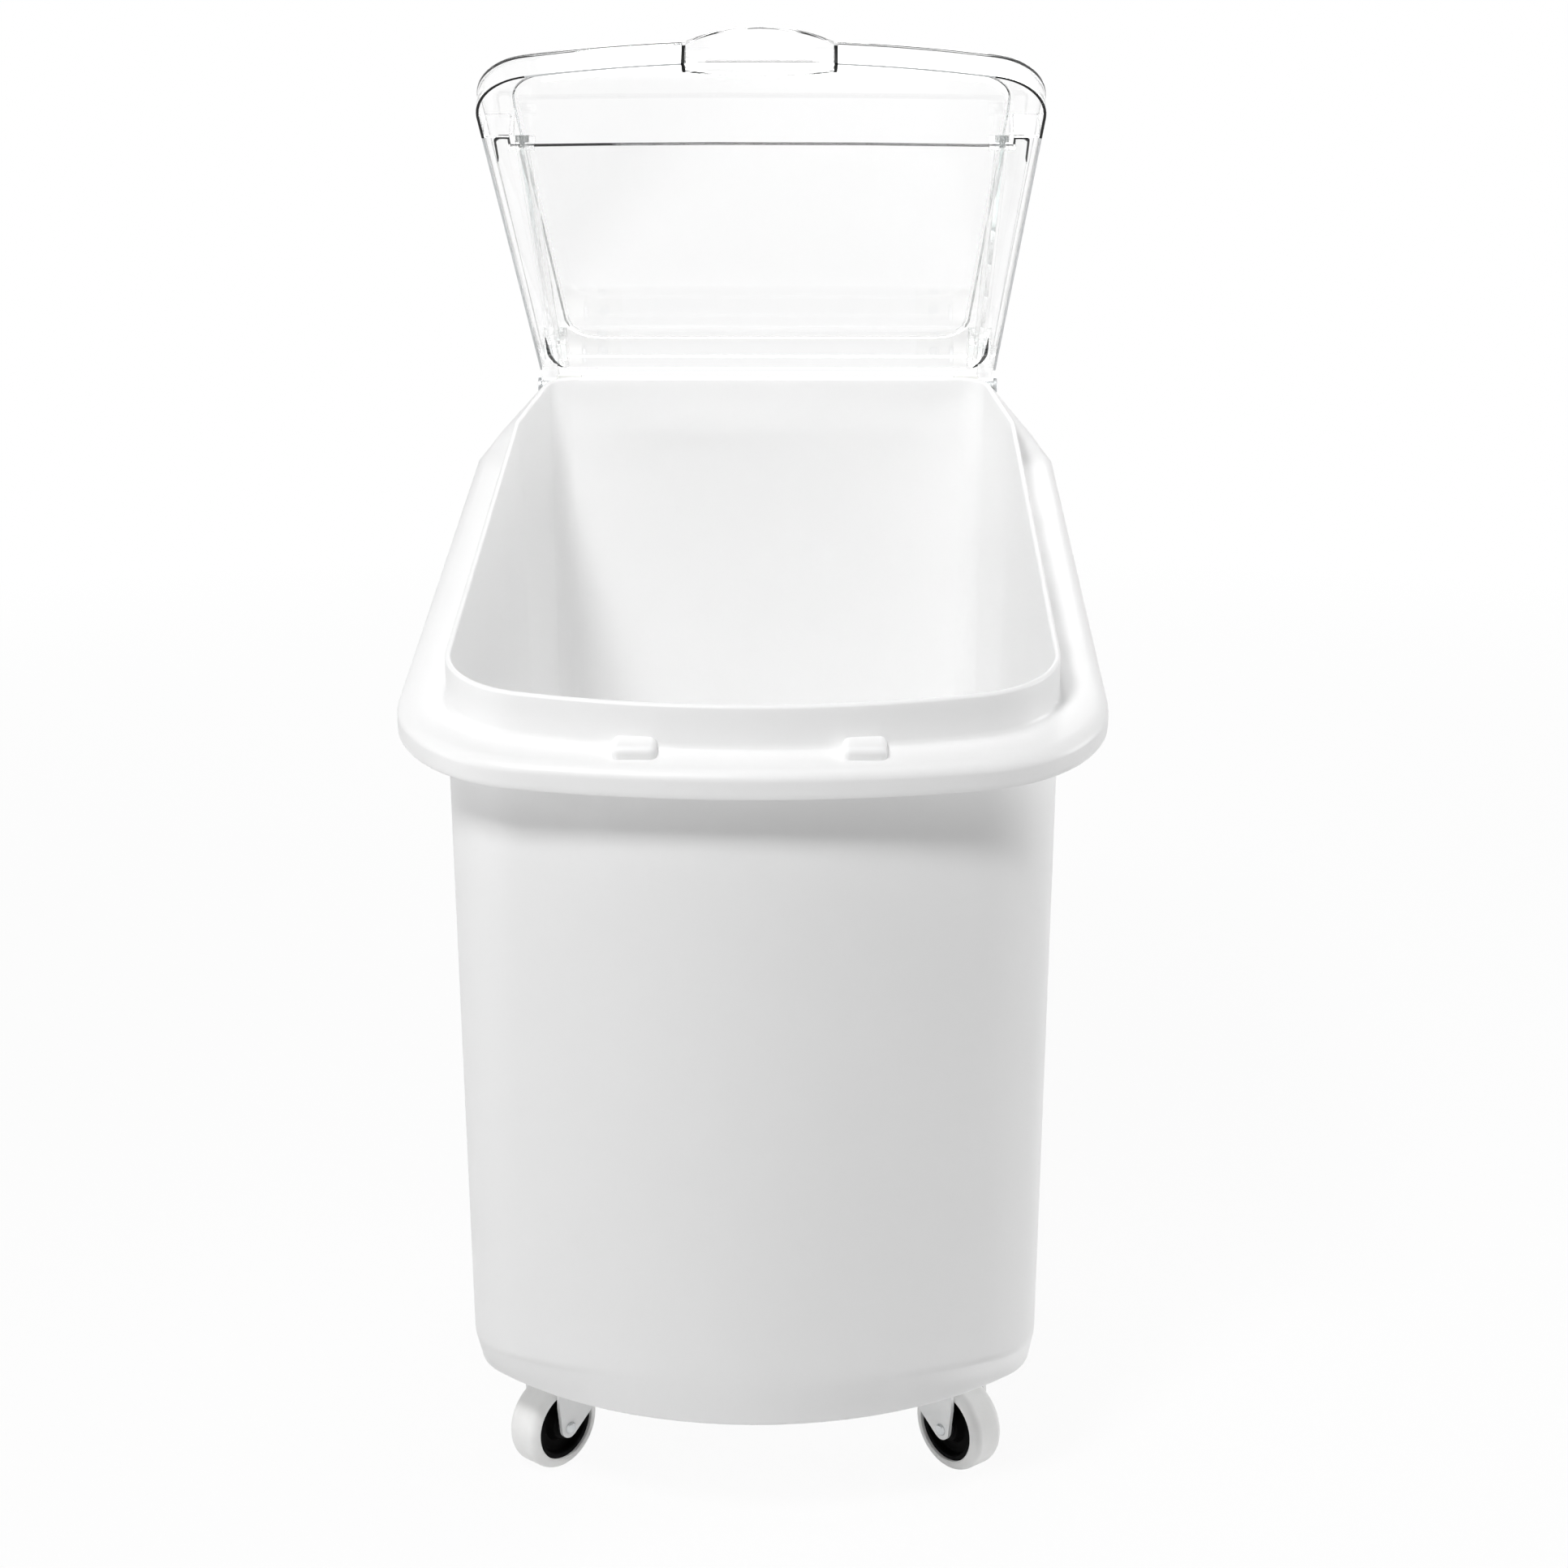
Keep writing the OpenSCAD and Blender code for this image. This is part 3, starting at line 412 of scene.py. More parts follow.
# Tub: one skin from the inner floor, over the lip and the rolled flange, down the walls to the underside
tubSizes = {
    "floor": dict(half=0.1925, rearHalf=0.175, front=-0.347, kink=0.192, rear=0.294,
                  cornerR=0.05, bowR=0.25, rearR=0.024),
    "heel": dict(half=0.195, rearHalf=0.1775, front=-0.347, kink=0.192, rear=0.301,
                 cornerR=0.06, bowR=0.39, rearR=0.024),
    "lip": dict(half=0.2025, rearHalf=0.185, front=-0.347, kink=0.192, rear=0.308,
                cornerR=0.075, bowR=0.765, rearR=0.024),
    "flange": dict(half=0.2325, rearHalf=0.1868, front=-0.375, kink=0.198, rear=0.3086,
                   cornerR=0.103, bowR=0.793, rearR=0.0246),
    "baseZ": 0.0895, "floorT": 0.010, "heelZ": 0.122, "wallT": 0.004, "lipFrontZ": 0.586, "slope": 11.25,
    "innerCorner": 0.012, "midShare": 0.9, "heelFold": 0.004, "footEdge": 0.004, "foldShares": (0.12, 0.88),
    "lipH": 0.0288, "flangeH": 0.0182, "edgeR": 0.007, "edgeStart": 0.72,
    "kneeClimb": 0.92, "kneeRun": 0.025, "lipTopR": 0.002,
    # section of the flange: shares of its reach, with heights over its top and its hem and depths under it
    "lipFoot": ((0, 0.018), (0, 0.005), (0.02, 0.002), (0.07, 0.0006), (0.16, 0), (0.3, 0), (0.5, 0)),
    "hem": ((1, 0.004), (0.995, 0.0015), (0.97, 0.0003), (0.93, 0), (0.89, 0.0004), (0.87, 0.002),
            (0.865, 0.006)),
    "hollow": ((0.84, 0.005), (0.77, 0.001), (0.66, 0), (0.2, 0), (0.06, 0.001), (0, 0.004)),
    "bump": (0.028, 0.0175, 0.008), "bumpX": 0.072, "bumpR": 0.0046, "bumpSink": 0.0038, "bumpRoot": 0.005,
    "ledgeSkin": 0.004, "ledgeEdgeR": 0.0025, "ledgeLap": 0.0025, "ledgeH": 0.02, "ledgeHollow": 0.015,
    "shadeAngle": 38,
}
tubCounts = dict(bow=12, corner=14, side=14, close=7, rear=7, back=8)
tubSteps = dict(corner=7, wall=8, lip=6, edge=7, heel=5)


def tubRings(s):
    slope = math.radians(s["slope"])
    lipY = s["lip"]["front"]
    wallTop = s["lipFrontZ"] + (s["lip"]["rear"] - lipY) * math.tan(slope) + s["lipH"]
    spread = {name: wholeOutline(s[name], tubCounts) for name in ("floor", "heel", "lip", "flange")}
    n = len(spread["lip"])

    def mouthZ(y, above):
        return s["lipFrontZ"] + (y - lipY) * math.tan(slope) + above / math.cos(slope)

    def wallAt(heel, lip, i, z):
        share = (z - s["heelZ"]) / (wallTop - s["heelZ"])
        x, y = blend(heel[i], lip[i], share)
        return (x, y, z)

    # where the leaning wall meets a plane above or below the mouth, found in a few rounds
    def mouthPoint(heel, lip, i, above):
        point = (0, lip[i][1], 0)
        for step in range(4):
            point = wallAt(heel, lip, i, mouthZ(point[1], above))
        return point

    def shell(t):
        return wholeOutline(inside(s["heel"], t), tubCounts), wholeOutline(inside(s["lip"], t), tubCounts)

    def wallRings(heel, lip, start, end):
        steps = tubSteps["wall"]
        made = []
        for k in range(1, steps + 1):
            heights = [start[i][2] + (end[i][2] - start[i][2]) * k / steps for i in range(n)]
            made.append([wallAt(heel, lip, i, heights[i]) for i in range(n)])
        return made

    def cornerRings(a, b, c, steps, first):
        return [[corner(a[i], b[i], c[i], k / steps) for i in range(n)] for k in range(first, steps + 1)]

    def middleRing(ring):
        return [(x * s["midShare"], y * s["midShare"], z) for x, y, z in ring]

    # inner floor and its round corner
    t = s["wallT"]
    heelIn, lipIn = shell(t)
    floorZ = s["baseZ"] + s["floorT"]
    floorIn = [(x, y, floorZ) for x, y in wholeOutline(inside(s["floor"], t + s["innerCorner"]), tubCounts)]
    wallFoot = [wallAt(heelIn, lipIn, i, s["heelZ"] + s["innerCorner"]) for i in range(n)]
    foot = [(x, y, floorZ) for x, y, z in wallFoot]
    rings = [middleRing(floorIn)]
    rings += cornerRings(floorIn, foot, wallFoot, tubSteps["corner"], 0)
    # inner wall, lip
    under = [mouthPoint(heelIn, lipIn, i, -t / 2) for i in range(n)]
    rings += wallRings(heelIn, lipIn, wallFoot, under)
    for k in range(1, tubSteps["lip"] + 1):
        turn = math.pi * k / tubSteps["lip"]
        heelK, lipK = shell(t / 2 + t / 2 * math.cos(turn))
        rings.append([mouthPoint(heelK, lipK, i, -t / 2 + t / 2 * math.sin(turn)) for i in range(n)])
    # outside of the lip, flange top, rolled edge and the hollow below it
    heel, lip = spread["heel"], spread["lip"]
    knee = s["flange"]["kink"]

    # behind the knee the flange climbs to the lip: at once beside it, at the outer edge by the rear corner
    def flangePoint(i, reach, above):
        behind = max(spread["flange"][i][1] - knee, 0)
        beside = min(behind / s["kneeRun"], 1)
        outer = min(behind / (s["flange"]["rear"] - knee), 1)
        climb = s["kneeClimb"] * (beside + (outer - beside) * reach)
        if above > -s["lipH"]:
            above = (above + s["lipTopR"]) * (1 - climb) - s["lipTopR"]
        else:
            above += (s["lipH"] - s["lipTopR"]) * climb
        base = mouthPoint(heel, lip, i, above)
        x, y = blend(base[:2], spread["flange"][i], reach)
        return (x, y, mouthZ(y, above))

    top = -s["lipH"]
    low = top - s["flangeH"]
    profile = [(reach, top + up) for reach, up in s["lipFoot"]] + [(s["edgeStart"], top)]
    for k in range(1, tubSteps["edge"] + 1):
        turn = math.pi / 2 * k / tubSteps["edge"]
        reach = s["edgeStart"] + (1 - s["edgeStart"]) * math.sin(turn)
        profile.append((reach, top - s["edgeR"] * (1 - math.cos(turn))))
    profile += [(reach, low + up) for reach, up in s["hem"]]
    profile += [(reach, top - t - down) for reach, down in s["hollow"]]
    rings += [[flangePoint(i, reach, above) for i in range(n)] for reach, above in profile]
    # outer wall, heel and underside
    fold = [wallAt(heel, lip, i, s["heelZ"] + s["heelFold"]) for i in range(n)]
    rings += wallRings(heel, lip, rings[-1], fold)
    crease = [(*heel[i], s["heelZ"]) for i in range(n)]
    base = [(*spread["floor"][i], s["baseZ"]) for i in range(n)]
    flat = [(x, y, s["baseZ"]) for x, y in wholeOutline(inside(s["floor"], s["footEdge"]), tubCounts)]
    upper, lower = ([blend(crease[i], base[i], share) for i in range(n)] for share in s["foldShares"])
    rings += cornerRings(fold, crease, upper, tubSteps["heel"], 1)
    rings += cornerRings(lower, base, flat, tubSteps["heel"], 0)
    rings.append(middleRing(flat))
    return rings


def makeTub(s):
    tub = growSkin("mouldedTub", tubRings(s))
    # stop bumps, drawn in the plane of the mouth
    w, reach, h = s["bump"]
    mouth = Matrix.Translation((0, s["lip"]["front"], s["lipFrontZ"]))
    mouth = mouth @ Matrix.Rotation(math.radians(s["slope"]), 4, "X")
    extras = []
    for side in (-1, 1):
        x = side * s["bumpX"]
        block = roundedBlock("stopBump", (x - w / 2, -reach, -s["lipH"] - s["bumpSink"]),
                             (x + w / 2, s["bumpRoot"], h - s["lipH"]), s["bumpR"], 5)
        settle(block, mouth)
        extras.append(block)
    # hinge ledge: a block with its underside cut out
    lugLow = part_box("hinge_lug_left")[0]
    lowX = lugLow.x - s["ledgeSkin"]
    ledge = roundedBlock("hingeLedge", (lowX, s["lip"]["rear"] - s["ledgeLap"], lugLow.z - s["ledgeH"]),
                         (-lowX, cadBox[1][1], lugLow.z), s["ledgeEdgeR"], 3)
    editAll(ledge)
    bpy.ops.mesh.select_all(action="DESELECT")
    mesh = bmesh.from_edit_mesh(ledge.data)
    for face in mesh.faces:
        face.select = face.normal.z < -0.99  # the flat underside
    bmesh.update_edit_mesh(ledge.data)
    bpy.ops.mesh.select_mode(type="FACE")
    bpy.ops.mesh.inset(thickness=s["ledgeSkin"] - s["ledgeEdgeR"] / 2)
    bpy.ops.mesh.extrude_region_move(TRANSFORM_OT_translate={"value": (0, 0, s["ledgeHollow"])})
    bpy.ops.mesh.select_mode(type="VERT")
    bpy.ops.object.mode_set(mode="OBJECT")
    for piece in (ledge, *extras):
        applyModifier(tub, "BOOLEAN", operation="UNION", object=piece, solver="EXACT")
        bpy.data.objects.remove(piece)
    smooth(tub, s["shadeAngle"])
    dress(tub, "bin", "white_moulded_plastic", polyethylene)
    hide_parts("tub")
    return tub


makeTub(tubSizes)
print("tub made")


# Lid pieces are drawn flat, with u along -Y and v along Z, and then turned up about the hinge
lidOpen = 48.5  # degrees from the shut lid to the lid as photographed
lidTurn = Matrix.Rotation(math.radians(tubSizes["slope"] - lidOpen), 4, "X")
lidMatrix = Matrix.Translation(jointPlace["lid_hinge"]) @ lidTurn

# Sliding front panel: an upturned tray with an embossed field, an overhanging finger lip and a recess under it
sliderSizes = {
    "edge": dict(half=0.21, rearHalf=0.1955, front=-0.418, kink=-0.4, rear=0.010,
                 cornerR=0.05, bowR=0.87, rearR=0.005),
    "field": dict(half=0.1835, rearHalf=0.169, front=-0.392, kink=-0.336, rear=-0.020,
                  cornerR=0.028, bowR=0.87, rearR=0.028),
    "skirtV": 0.0182, "topV": 0.0382, "sheetT": 0.0025, "embossH": 0.002, "edgeR": 0.0014,
    "innerRearR": 0.0004,
    "handleHalf": 0.0535, "handleReach": 0.016, "handleT": 0.0035,
    "recessD": 0.009, "recessLean": 0.006, "recessZone": 0.02, "recessDraft": (0.002, 0.2),
    "pocketX": (0.1847, 0.2062), "pocketU": 0.3313, "pocketReach": 0.008, "pocketFloorV": 0.0157,
    "pocketR": 0.0005, "pocketGap": 0.00005,
    # how far the painted shade runs: the pale grey painted free edge, the dark painted front corners and the dark
    # painted sides of the recess
    "freeEdge": 0.0006, "paintedShadeCorner": (0.04, 0.09), "paintedShadeRecess": (0.002, 0.004),
    "shadeAngle": 35,
}
# points across the bowed front, close together where the finger lip and the recess end
sliderBow = [0, 0.012, 0.024, 0.034, 0.042, 0.0485, 0.052, 0.0533, 0.0537, 0.0558, 0.0562,
             0.064, 0.08, 0.1, 0.12, 0.14]
sliderCounts = dict(bow=sliderBow, corner=14, side=0, close=14, rear=4, back=10)
fieldCounts = dict(bow=len(sliderBow), corner=14, side=4, close=10, rear=4, back=10)


def sliderRings(s):
    # the sides close in from the end of the front corner on
    edge = dict(s["edge"])
    bow, r = edge["bowR"], edge["cornerR"]
    edge["kink"] = edge["front"] + bow - math.sqrt((bow - r) ** 2 - (edge["half"] - r) ** 2)
    n = len(wholeOutline(edge, sliderCounts))
    rightCount = n // 2 + 1
    openFrom = len(sliderBow) + 1 + sliderCounts["corner"] + sliderCounts["close"]
    half, reach = s["handleHalf"], s["handleReach"]
    arcR = (half ** 2 + reach ** 2) / (2 * reach)
    top, low, sheet = s["topV"], s["skirtV"], s["sheetT"]
    inner = top - sheet
    lipLow = top - s["handleT"]
    middle = (top + low) / 2
    lift = top + s["embossH"]
    innerLift = inner + s["embossH"]

    # one ring of the tray's edge; the finger lip stands out of it, the recess goes in, and the rear is open
    def edgeRing(t, v, mode):
        shape = inside(edge, t)
        if t >= edge["rearR"]:
            shape["rearR"] = s["innerRearR"]
        limit = half if mode != "inner" else half + sheet
        draftEnd, draft = s["recessDraft"]
        ring = []
        for i, (x, y) in enumerate(wholeOutline(shape, sliderCounts)):
            z = v
            k = i if i < rightCount else n - i
            if k < openFrom and abs(x) < limit + mergeDistance and y < edge["front"] + s["recessZone"]:
                if mode == "lip":
                    y -= math.sqrt(arcR ** 2 - min(abs(x), half) ** 2) - (arcR - reach)
                if mode in ("wall", "inner"):
                    share = (lipLow - v) / (lipLow - low)
                    lean = s["recessLean"] * max(0, share) * (1 - (x / limit) ** 2)
                    y = edge["front"] + s["recessD"] + lean + (sheet if mode == "inner" else 0)
                    y += min(t, draftEnd) * draft
            if k >= openFrom and mode != "lip":
                z = max(v, inner)
            ring.append((x, y, z))
        return ring

    def fieldRing(t, v):
        return [(x, y, v) for x, y in wholeOutline(inside(s["field"], t), fieldCounts)]

    # pairs of inset and height, from the outer face round the edge to the inner face
    fieldOver = [(0.006, lift), (0.002, lift), (0.0006, lift - 0.0001), (0.0001, lift - 0.0006),
                 (-0.0005, top + 0.0006), (-0.0012, top + 0.0001), (-0.003, top), (-0.006, top)]
    lipEdge = [(0.004, top), (s["edgeR"], top)]
    for k in range(1, 5):
        turn = math.pi / 2 * k / 4
        lipEdge.append((s["edgeR"] * (1 - math.sin(turn)), top - s["edgeR"] * (1 - math.cos(turn))))
    lipEdge += [(0, lipLow + 0.0012), (0.0004, lipLow + 0.0002), (0.0012, lipLow)]
    outerWall = [(0.0011, lipLow - 0.0002), (0.0008, lipLow - 0.002), (0.0004, middle), (0, low + 0.0011),
                 (0.0002, low + 0.0004), (0.0008, low)]
    innerWall = [(0.0018, low), (0.0023, low + 0.0004), (0.0025, low + 0.0011), (0.0029, middle),
                 (0.0034, inner - 0.0012), (0.0038, inner - 0.0003), (0.0047, inner), (0.0065, inner)]
    fieldUnder = [(-0.003, inner), (0.0005, inner), (0.0018, inner + 0.0002), (0.0026, inner + 0.0012),
                  (0.0034, innerLift - 0.0001), (0.005, innerLift), (0.009, innerLift)]
    rings = [fieldRing(t, v) for t, v in fieldOver]
    for pairs, mode in ((lipEdge, "lip"), (outerWall, "wall"), (innerWall, "inner")):
        rings += [edgeRing(t, v, mode) for t, v in pairs]
    return rings + [fieldRing(t, v) for t, v in fieldUnder]


def makeSlider(s):
    slider = growSkin("clearSlidingPanel", sliderRings(s))
    # painted shade: the free edge of the skirt is painted grey, and painted dark round the front corners and
    # beside the finger recess
    for material in (polycarbonate, paintedGreyEdge, paintedDarkEdge):
        slider.data.materials.append(material)
    frontY = s["edge"]["front"]
    cornerX, cornerY = s["paintedShadeCorner"]
    recessX, recessY = s["paintedShadeRecess"]
    for face in slider.data.polygons:
        x, y, z = face.center
        atFree = z < s["skirtV"] + s["freeEdge"]
        atCorner = abs(x) > s["edge"]["half"] - cornerX and y < frontY + cornerY
        besideRecess = abs(abs(x) - s["handleHalf"] - s["sheetT"] / 2) < recessX
        atRecess = besideRecess and y < frontY + s["recessD"] + recessY
        if atRecess and z < s["topV"] - s["handleT"]:
            face.material_index = 2
        elif atFree and abs(x) > s["handleHalf"]:
            face.material_index = 2 if atCorner else 1
    # stop pockets for the tabs of the rear panel, a hair below the sheet
    xIn, xOut = s["pocketX"]
    u, t, gap = s["pocketU"], s["sheetT"], s["pocketGap"]
    roof = s["topV"] - s["sheetT"] - gap
    walls = (((xIn + t + gap, -u - t, s["pocketFloorV"]), (xOut, -u, roof)),
             ((xIn, -u - t, s["skirtV"]), (xIn + t, s["pocketReach"] - u, roof)))
    extras = []
    for side in (-1, 1):
        for low, high in walls:
            a, b = sorted((side * low[0], side * high[0]))
            block = roundedBlock("stopPocket", (a, low[1], low[2]), (b, high[1], high[2]), s["pocketR"], 2)
            block.data.materials.append(polycarbonate)
            extras.append(block)
    joinPieces(slider, *extras)
    smooth(slider, s["shadeAngle"])
    settle(slider, lidMatrix)
    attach(slider, "slider")
    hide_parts("front_lid_slider")
    return slider


makeSlider(sliderSizes)
print("sliding panel made")


# Rear panel, its rails, the shoes and the hinge keep the CAD's shapes with rounded edges
rearPanelSizes = {
    "tabX": 0.1872, "tabY": -0.3, "lowV": 0.0153, "highV": 0.0178, "lineSink": 0.0002, "edgeNormal": 0.6,
    # painted dark shade lines of the round rear corner and of the tab: places in the sheet and half the width of
    # the line
    "cornerShadeLine": ((0.1860, -0.0505, 0.0004), (0.1857, -0.0420, 0.0008), (0.1856, -0.0340, 0.0012),
                   (0.1852, -0.0257, 0.0014), (0.1843, -0.0208, 0.0014), (0.1829, -0.0165, 0.0013),
                   (0.1814, -0.0123, 0.0012), (0.1796, -0.0087, 0.0010), (0.1775, -0.0058, 0.0008),
                   (0.1756, -0.0040, 0.0004)),
    "tabShadeLine": ((0.1990, -0.3010, 0.0003), (0.1986, -0.3060, 0.0007), (0.1986, -0.3260, 0.0008),
                (0.1978, -0.3280, 0.0007), (0.1953, -0.3302, 0.0005), (0.1915, -0.3304, 0.0004),
                (0.1886, -0.3302, 0.0005), (0.1883, -0.3285, 0.0007), (0.1883, -0.3235, 0.0007)),
}


# painted shade: the cut edge of the rear panel is painted dark at its tabs, and thin painted dark lines run round
# its rear corners and along its tabs
def paintRearPanelEdgeShade(panel, s):
    toLid = lidMatrix.inverted()
    panel.data.materials.append(paintedDarkEdge)
    for face in panel.data.polygons:
        x, y, z = toLid @ face.center
        across = abs((toLid.to_3x3() @ face.normal).z)
        inSheet = across < s["edgeNormal"] and s["lowV"] < z < s["highV"]
        if inSheet and abs(x) > s["tabX"] and y < s["tabY"]:
            face.material_index = 1
    low, high = s["lowV"] + s["lineSink"], s["highV"] - s["lineSink"]
    for side in (-1, 1):
        for path in (s["cornerShadeLine"], s["tabShadeLine"]):
            rings = []
            for i, (x, y, w) in enumerate(path):
                before = Vector(path[max(i - 1, 0)][:2])
                after = Vector(path[min(i + 1, len(path) - 1)][:2])
                dx, dy = (after - before).normalized() * w
                rings.append([(side * (x + a * dy), y - a * dx, v)
                              for a, v in ((-1, low), (1, low), (1, high), (-1, high))])
            line = growSkin("paintedShadeLine", rings)
            line.data.materials.append(paintedDarkEdge)
            settle(line, lidMatrix)
            joinPieces(panel, line)


paintRearPanelEdgeShade(roundOver("rear_lid_panel", 0.0004, 2, "clear_polycarbonate", polycarbonate), rearPanelSizes)
for name in ("rail_left", "rail_right"):
    roundOver(name, 0.0004, 2, "clear_polycarbonate", polycarbonate)
for name in ("shoe_left", "shoe_right"):
    roundOver(name, 0.0006, 2, "clear_polycarbonate", polycarbonate)
for name in ("hinge_lug_left", "hinge_lug_right"):
    roundOver(name, 0.0012, 3, "white_bearing_plastic", acetal)
for name in ("hinge_pin_left", "hinge_pin_right", "hinge_cap_left", "hinge_cap_right", "hinge_screws",
             "caster_screws_front", "caster_screws_rear"):
    roundOver(name, 0.0006, 3, "bright_steel", zincSteel)
print("lid and hinge made")


# Wheels: tyre and core are spun once and copied, forks and plates are rounded copies
wheelNames = ("front_left", "front_right", "rear_left", "rear_right")
wheelSizes = {
    "tyreR": 0.0325, "tyreHalf": 0.0135, "shoulderR": 0.0067,
    "seatGap": 0.00005, "seatEdge": (0.0006, 0.0004),
    "grooveR": 0.0265, "grooveD": 0.0004, "grooveEdge": (0.0010, 0.0005),
    "coreR": 0.025, "coreHalf": 0.0114, "coreEdge": (0.0008, 0.0006), "rimT": 0.004, "webHalf": 0.0054,
    "hubR": 0.0106, "hubEdge": 0.0008, "bore": 0.00655,
    # rounded feet of the hub and of the rim on the web, and the inner edge of the rim
    "hubFoot": ((0.001, 0.0022), (0.0026, 0.0006)), "rimFoot": ((0.0022, 0), (0.0006, 0.0006), (0, 0.0022)),
    "rimEdge": ((0.0003, 0.0006), (0.0009, 0)),
    "spinSteps": 72, "shadeAngle": 32,
}


def tyreProfile(s):
    outer, half, r = s["tyreR"], s["tyreHalf"], s["shoulderR"]
    edgeOut, edgeIn = s["seatEdge"]
    grooveFrom, grooveTo = s["grooveEdge"]
    side = [(s["coreR"] + s["seatGap"], -half + edgeIn), (s["coreR"] + edgeOut, -half),
            (s["grooveR"] - grooveFrom, -half), (s["grooveR"] - grooveTo, -half + s["grooveD"]),
            (s["grooveR"], -half + s["grooveD"])]
    for k in range(0, 11):
        turn = math.pi / 2 * k / 10
        side.append((outer - r + r * math.sin(turn), -half + r - r * math.cos(turn)))
    return side + [(outer, 0)] + [(radius, -offset) for radius, offset in reversed(side)]


def coreProfile(s):
    half, hub, rim, web = s["coreHalf"], s["hubR"], s["coreR"] - s["rimT"], s["webHalf"]
    edgeOut, edgeIn = s["coreEdge"]
    side = [(s["bore"], -half), (hub - s["hubEdge"], -half), (hub, -half + s["hubEdge"])]
    side += [(hub + out, -web - up) for out, up in s["hubFoot"]]
    side += [(rim - back, -web - up) for back, up in s["rimFoot"]]
    side += [(rim + out, -half + down) for out, down in s["rimEdge"]]
    side += [(s["coreR"] - edgeOut, -half), (s["coreR"], -half + edgeIn)]
    return side + [(radius, -offset) for radius, offset in reversed(side)]


def wheelMatrix(name):
    joint = name + "_roll"
    turn = math.atan2(jointAxis[joint].y, jointAxis[joint].x)
    return Matrix.Translation(jointPlace[joint]) @ Matrix.Rotation(turn, 4, "Z")


def makeWheels(s):
    tyre = spinProfile("tyre", tyreProfile(s), s["spinSteps"])
    core = spinProfile("core", coreProfile(s), s["spinSteps"])
    for piece in (tyre, core):
        smooth(piece, s["shadeAngle"])
    for name in wheelNames:
        for piece, part, slotName, material in ((tyre, "tyre", "pale_tyre", tyreRubber),
                                                (core, "core", "black_core_plastic", polypropylene)):
            copy = bpy.data.objects.new(name + "_" + part + "Spun", piece.data.copy())
            bpy.context.scene.collection.objects.link(copy)
            settle(copy, wheelMatrix(name))
            dress(copy, name + "_wheel", slotName, material)
            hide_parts(name + "_" + part)
        roundOver(name + "_fork", 0.0007, 3, "white_coated_steel", coatedSteel)
        roundOver(name + "_axle", 0.0006, 3, "bright_steel", zincSteel)
        if name.startswith("front"):
            roundOver(name + "_plate", 0.0006, 2, "white_coated_steel", coatedSteel)
            roundOver(name + "_race", 0.0008, 3, "bright_steel", zincSteel)
            roundOver(name + "_kingpin", 0.0006, 3, "bright_steel", zincSteel)
    for piece in (tyre, core):
        bpy.data.objects.remove(piece)


makeWheels(wheelSizes)
print("wheels made")

# small CAD nodes that stay as they are
for name in ("base_inserts", "hinge_nuts", *(wheel + "_bush" for wheel in wheelNames)):
    nodes[name].data.materials.clear()
    nodes[name].data.materials.append(brass if name == "base_inserts" else zincSteel)


# Studio: white floor and backdrop that keep the shadow, soft lamps, camera as in the photograph
studio = {
    "floorSize": 60, "floorWhite": "#f2f2f2", "floorRough": 0.9, "floorSpecular": 0.1,
    "whiteShare": 0.93, "whiteFrom": 0.8, "whiteTo": 3.5, "worldStrength": 0.165,
    "lamps": {
        "mainBox": dict(place=(-0.7, -1.71, 2.3), target=(0, -0.1, 0.45), size=0.45, power=32),
        "topBox": dict(place=(0.05, -0.6, 2.4), target=(0, -0.1, 0.5), size=0.6, power=6),
        "leftFill": dict(place=(-2.0, -0.8, 0.7), target=(0, -0.2, 0.4), size=1.0, power=8.3),
        "rightFill": dict(place=(2.0, 0.0, 0.7), target=(0, -0.1, 0.4), size=0.8, power=14),
        "rearFill": dict(place=(0.1, 2.1, 1.4), target=(0, 0.3, 0.45), size=1.0, power=12),
    },
    "sensor": 36, "lens": 61.8, "cameraPlace": (0.0391, -1.9775, 0.9748), "pitch": 15.06, "yaw": 0.62,
    # light goes to and fro many times in a deep white hollow and in a clear sheet
    "bounces": dict(all=32, diffuse=16, transmission=32, glossy=24),
}
white = (1, 1, 1, 1)


# 1 for rays that show the background: straight, in gloss or through the clear lid
def seenRays(tree):
    path = addNode(tree, "ShaderNodeLightPath").outputs
    seen = addNode(tree, "ShaderNodeMath", {0: path["Is Camera Ray"], 1: path["Is Glossy Ray"]},
                   operation="MAXIMUM")
    seen = addNode(tree, "ShaderNodeMath", {0: seen.outputs[0], 1: path["Is Transmission Ray"]},
                   operation="MAXIMUM")
    return seen.outputs[0]


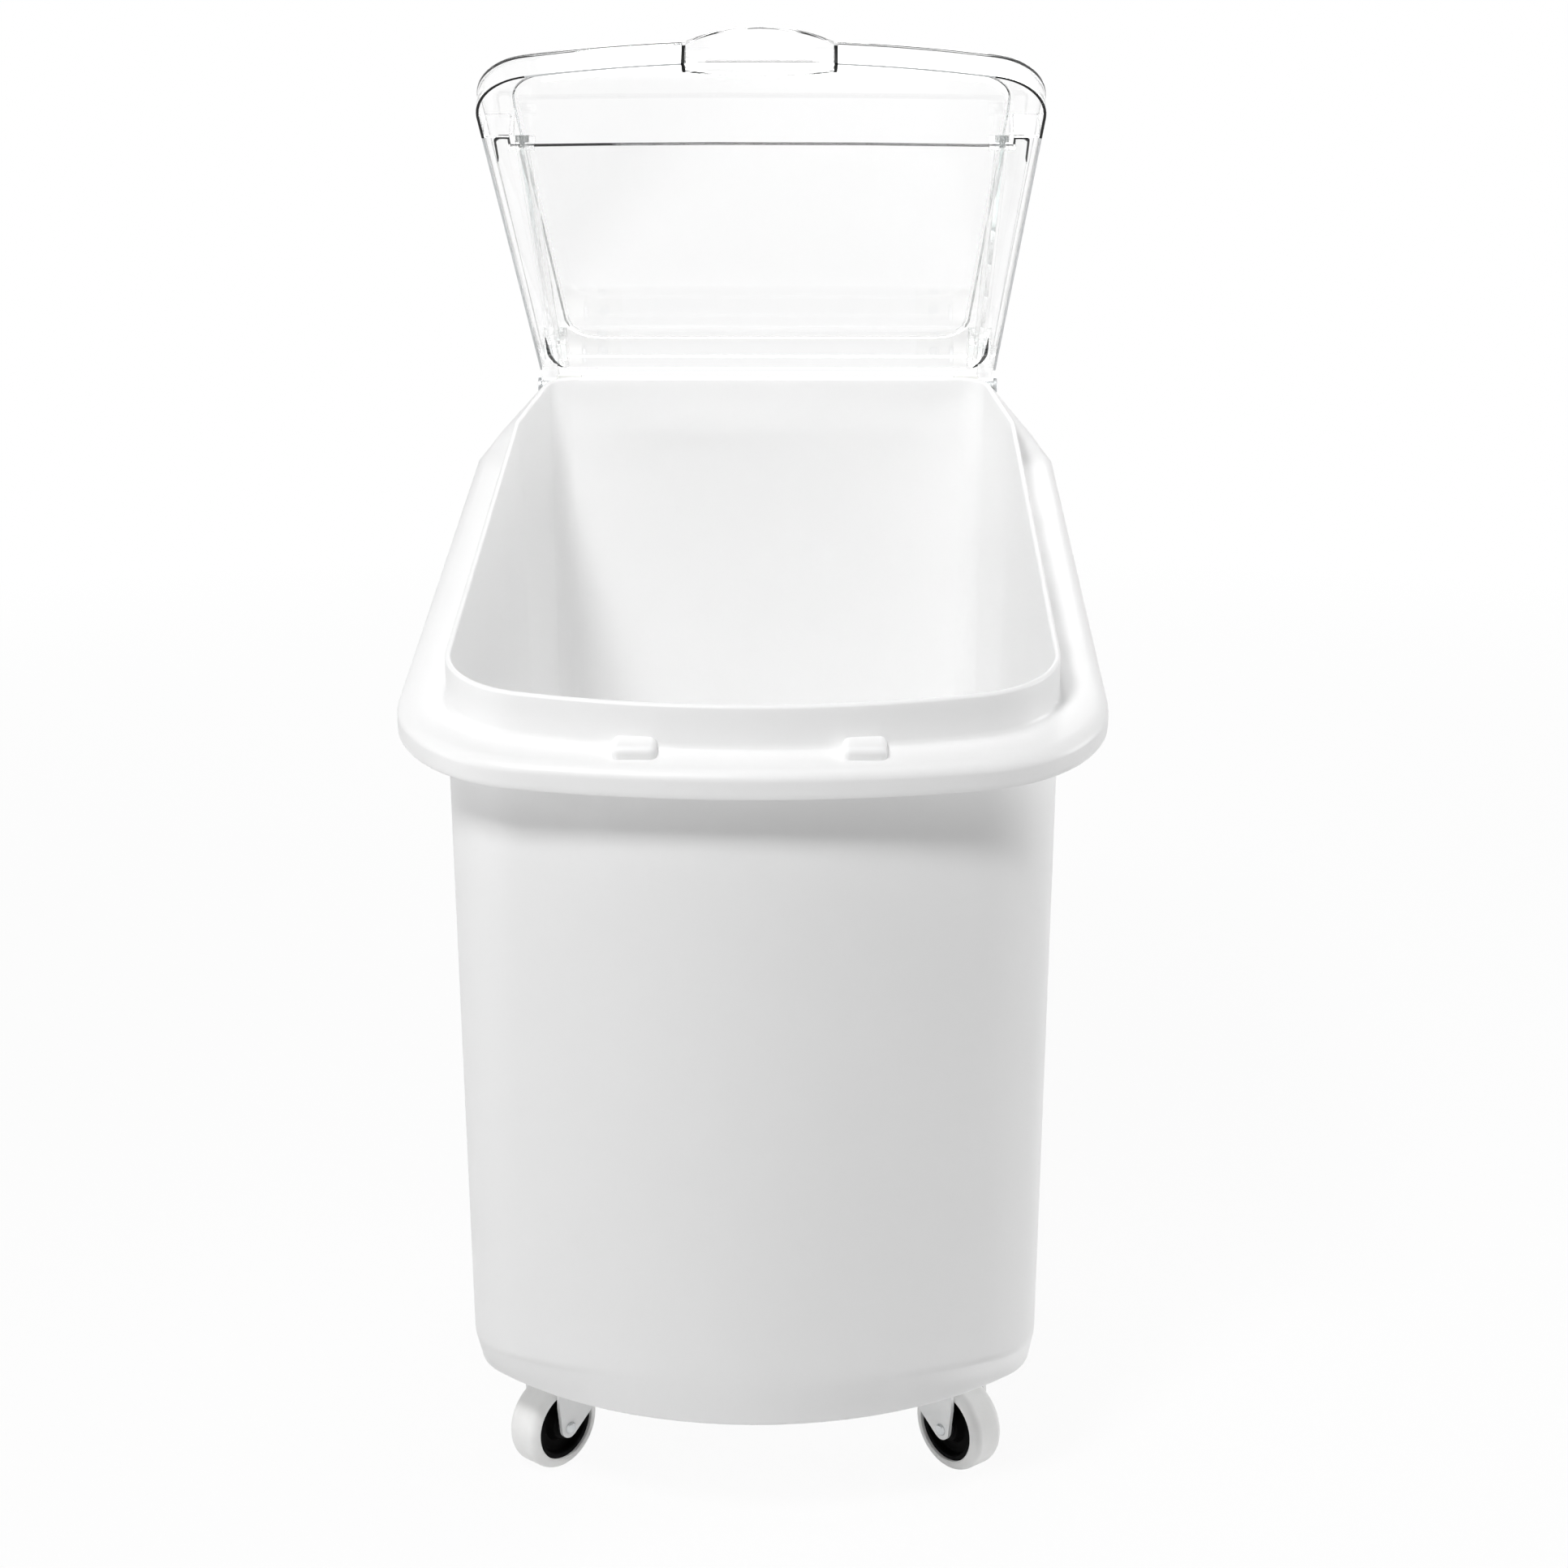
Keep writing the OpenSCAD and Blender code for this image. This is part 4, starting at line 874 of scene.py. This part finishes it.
def makeFloor(s):
    bpy.ops.object.select_all(action="DESELECT")
    bpy.ops.mesh.primitive_plane_add(size=s["floorSize"])
    floor = bpy.context.object
    floor.name = "studioFloor"
    material, tree, shader, place = startMaterial("paleStudioFloor")
    shader.inputs["Base Color"].default_value = linear(s["floorWhite"])
    shader.inputs["Roughness"].default_value = s["floorRough"]
    shader.inputs["Specular IOR Level"].default_value = s["floorSpecular"]
    # mostly plain white near the bin, so that its shadow stays, and all white far off
    away = addNode(tree, "ShaderNodeVectorMath", {0: place}, operation="LENGTH")
    fade = addNode(tree, "ShaderNodeMapRange", {"Value": away.outputs["Value"], "From Min": s["whiteFrom"],
                                                "From Max": s["whiteTo"], "To Min": s["whiteShare"],
                                                "To Max": 1})
    share = addNode(tree, "ShaderNodeMath", {0: seenRays(tree), 1: fade.outputs[0]}, operation="MULTIPLY")
    glow = addNode(tree, "ShaderNodeEmission", {"Color": white, "Strength": 1})
    mix = addNode(tree, "ShaderNodeMixShader", {0: share.outputs[0], 1: shader.outputs["BSDF"],
                                                2: glow.outputs["Emission"]})
    tree.links.new(mix.outputs[0], tree.nodes["Material Output"].inputs["Surface"])
    floor.data.materials.append(material)


def makeWorld(s):
    world = bpy.data.worlds.new("studioWorld")
    bpy.context.scene.world = world
    world.use_nodes = True
    tree = world.node_tree
    plain = addNode(tree, "ShaderNodeBackground", {"Color": white, "Strength": s["worldStrength"]})
    bright = addNode(tree, "ShaderNodeBackground", {"Color": white, "Strength": 1})
    mix = addNode(tree, "ShaderNodeMixShader", {0: seenRays(tree), 1: plain.outputs[0], 2: bright.outputs[0]})
    tree.links.new(mix.outputs[0], tree.nodes["World Output"].inputs["Surface"])


# a soft box from the front left, one from above and broad fills on both sides and behind
def makeLamps(s):
    for name, lamp in s["lamps"].items():
        light = bpy.data.lights.new(name, "AREA")
        light.energy = lamp["power"]
        light.size = lamp["size"]
        holder = bpy.data.objects.new(name, light)
        bpy.context.scene.collection.objects.link(holder)
        holder.location = lamp["place"]
        aim = Vector(lamp["target"]) - Vector(lamp["place"])
        holder.rotation_euler = aim.to_track_quat("-Z", "Y").to_euler()


def makeCamera(s):
    camera = bpy.data.cameras.new("photoCamera")
    camera.sensor_width = s["sensor"]
    camera.lens = s["lens"]
    holder = bpy.data.objects.new("photoCamera", camera)
    bpy.context.scene.collection.objects.link(holder)
    holder.location = s["cameraPlace"]
    holder.rotation_euler = (math.radians(90 - s["pitch"]), 0, math.radians(s["yaw"]))
    bpy.context.scene.camera = holder


makeFloor(studio)
makeWorld(studio)
makeLamps(studio)
makeCamera(studio)
bpy.context.scene.view_settings.view_transform = "Standard"
bpy.context.scene.cycles.max_bounces = studio["bounces"]["all"]
bpy.context.scene.cycles.diffuse_bounces = studio["bounces"]["diffuse"]
bpy.context.scene.cycles.transmission_bounces = studio["bounces"]["transmission"]
bpy.context.scene.cycles.glossy_bounces = studio["bounces"]["glossy"]
print("studio made")

bpy.context.view_layer.update()
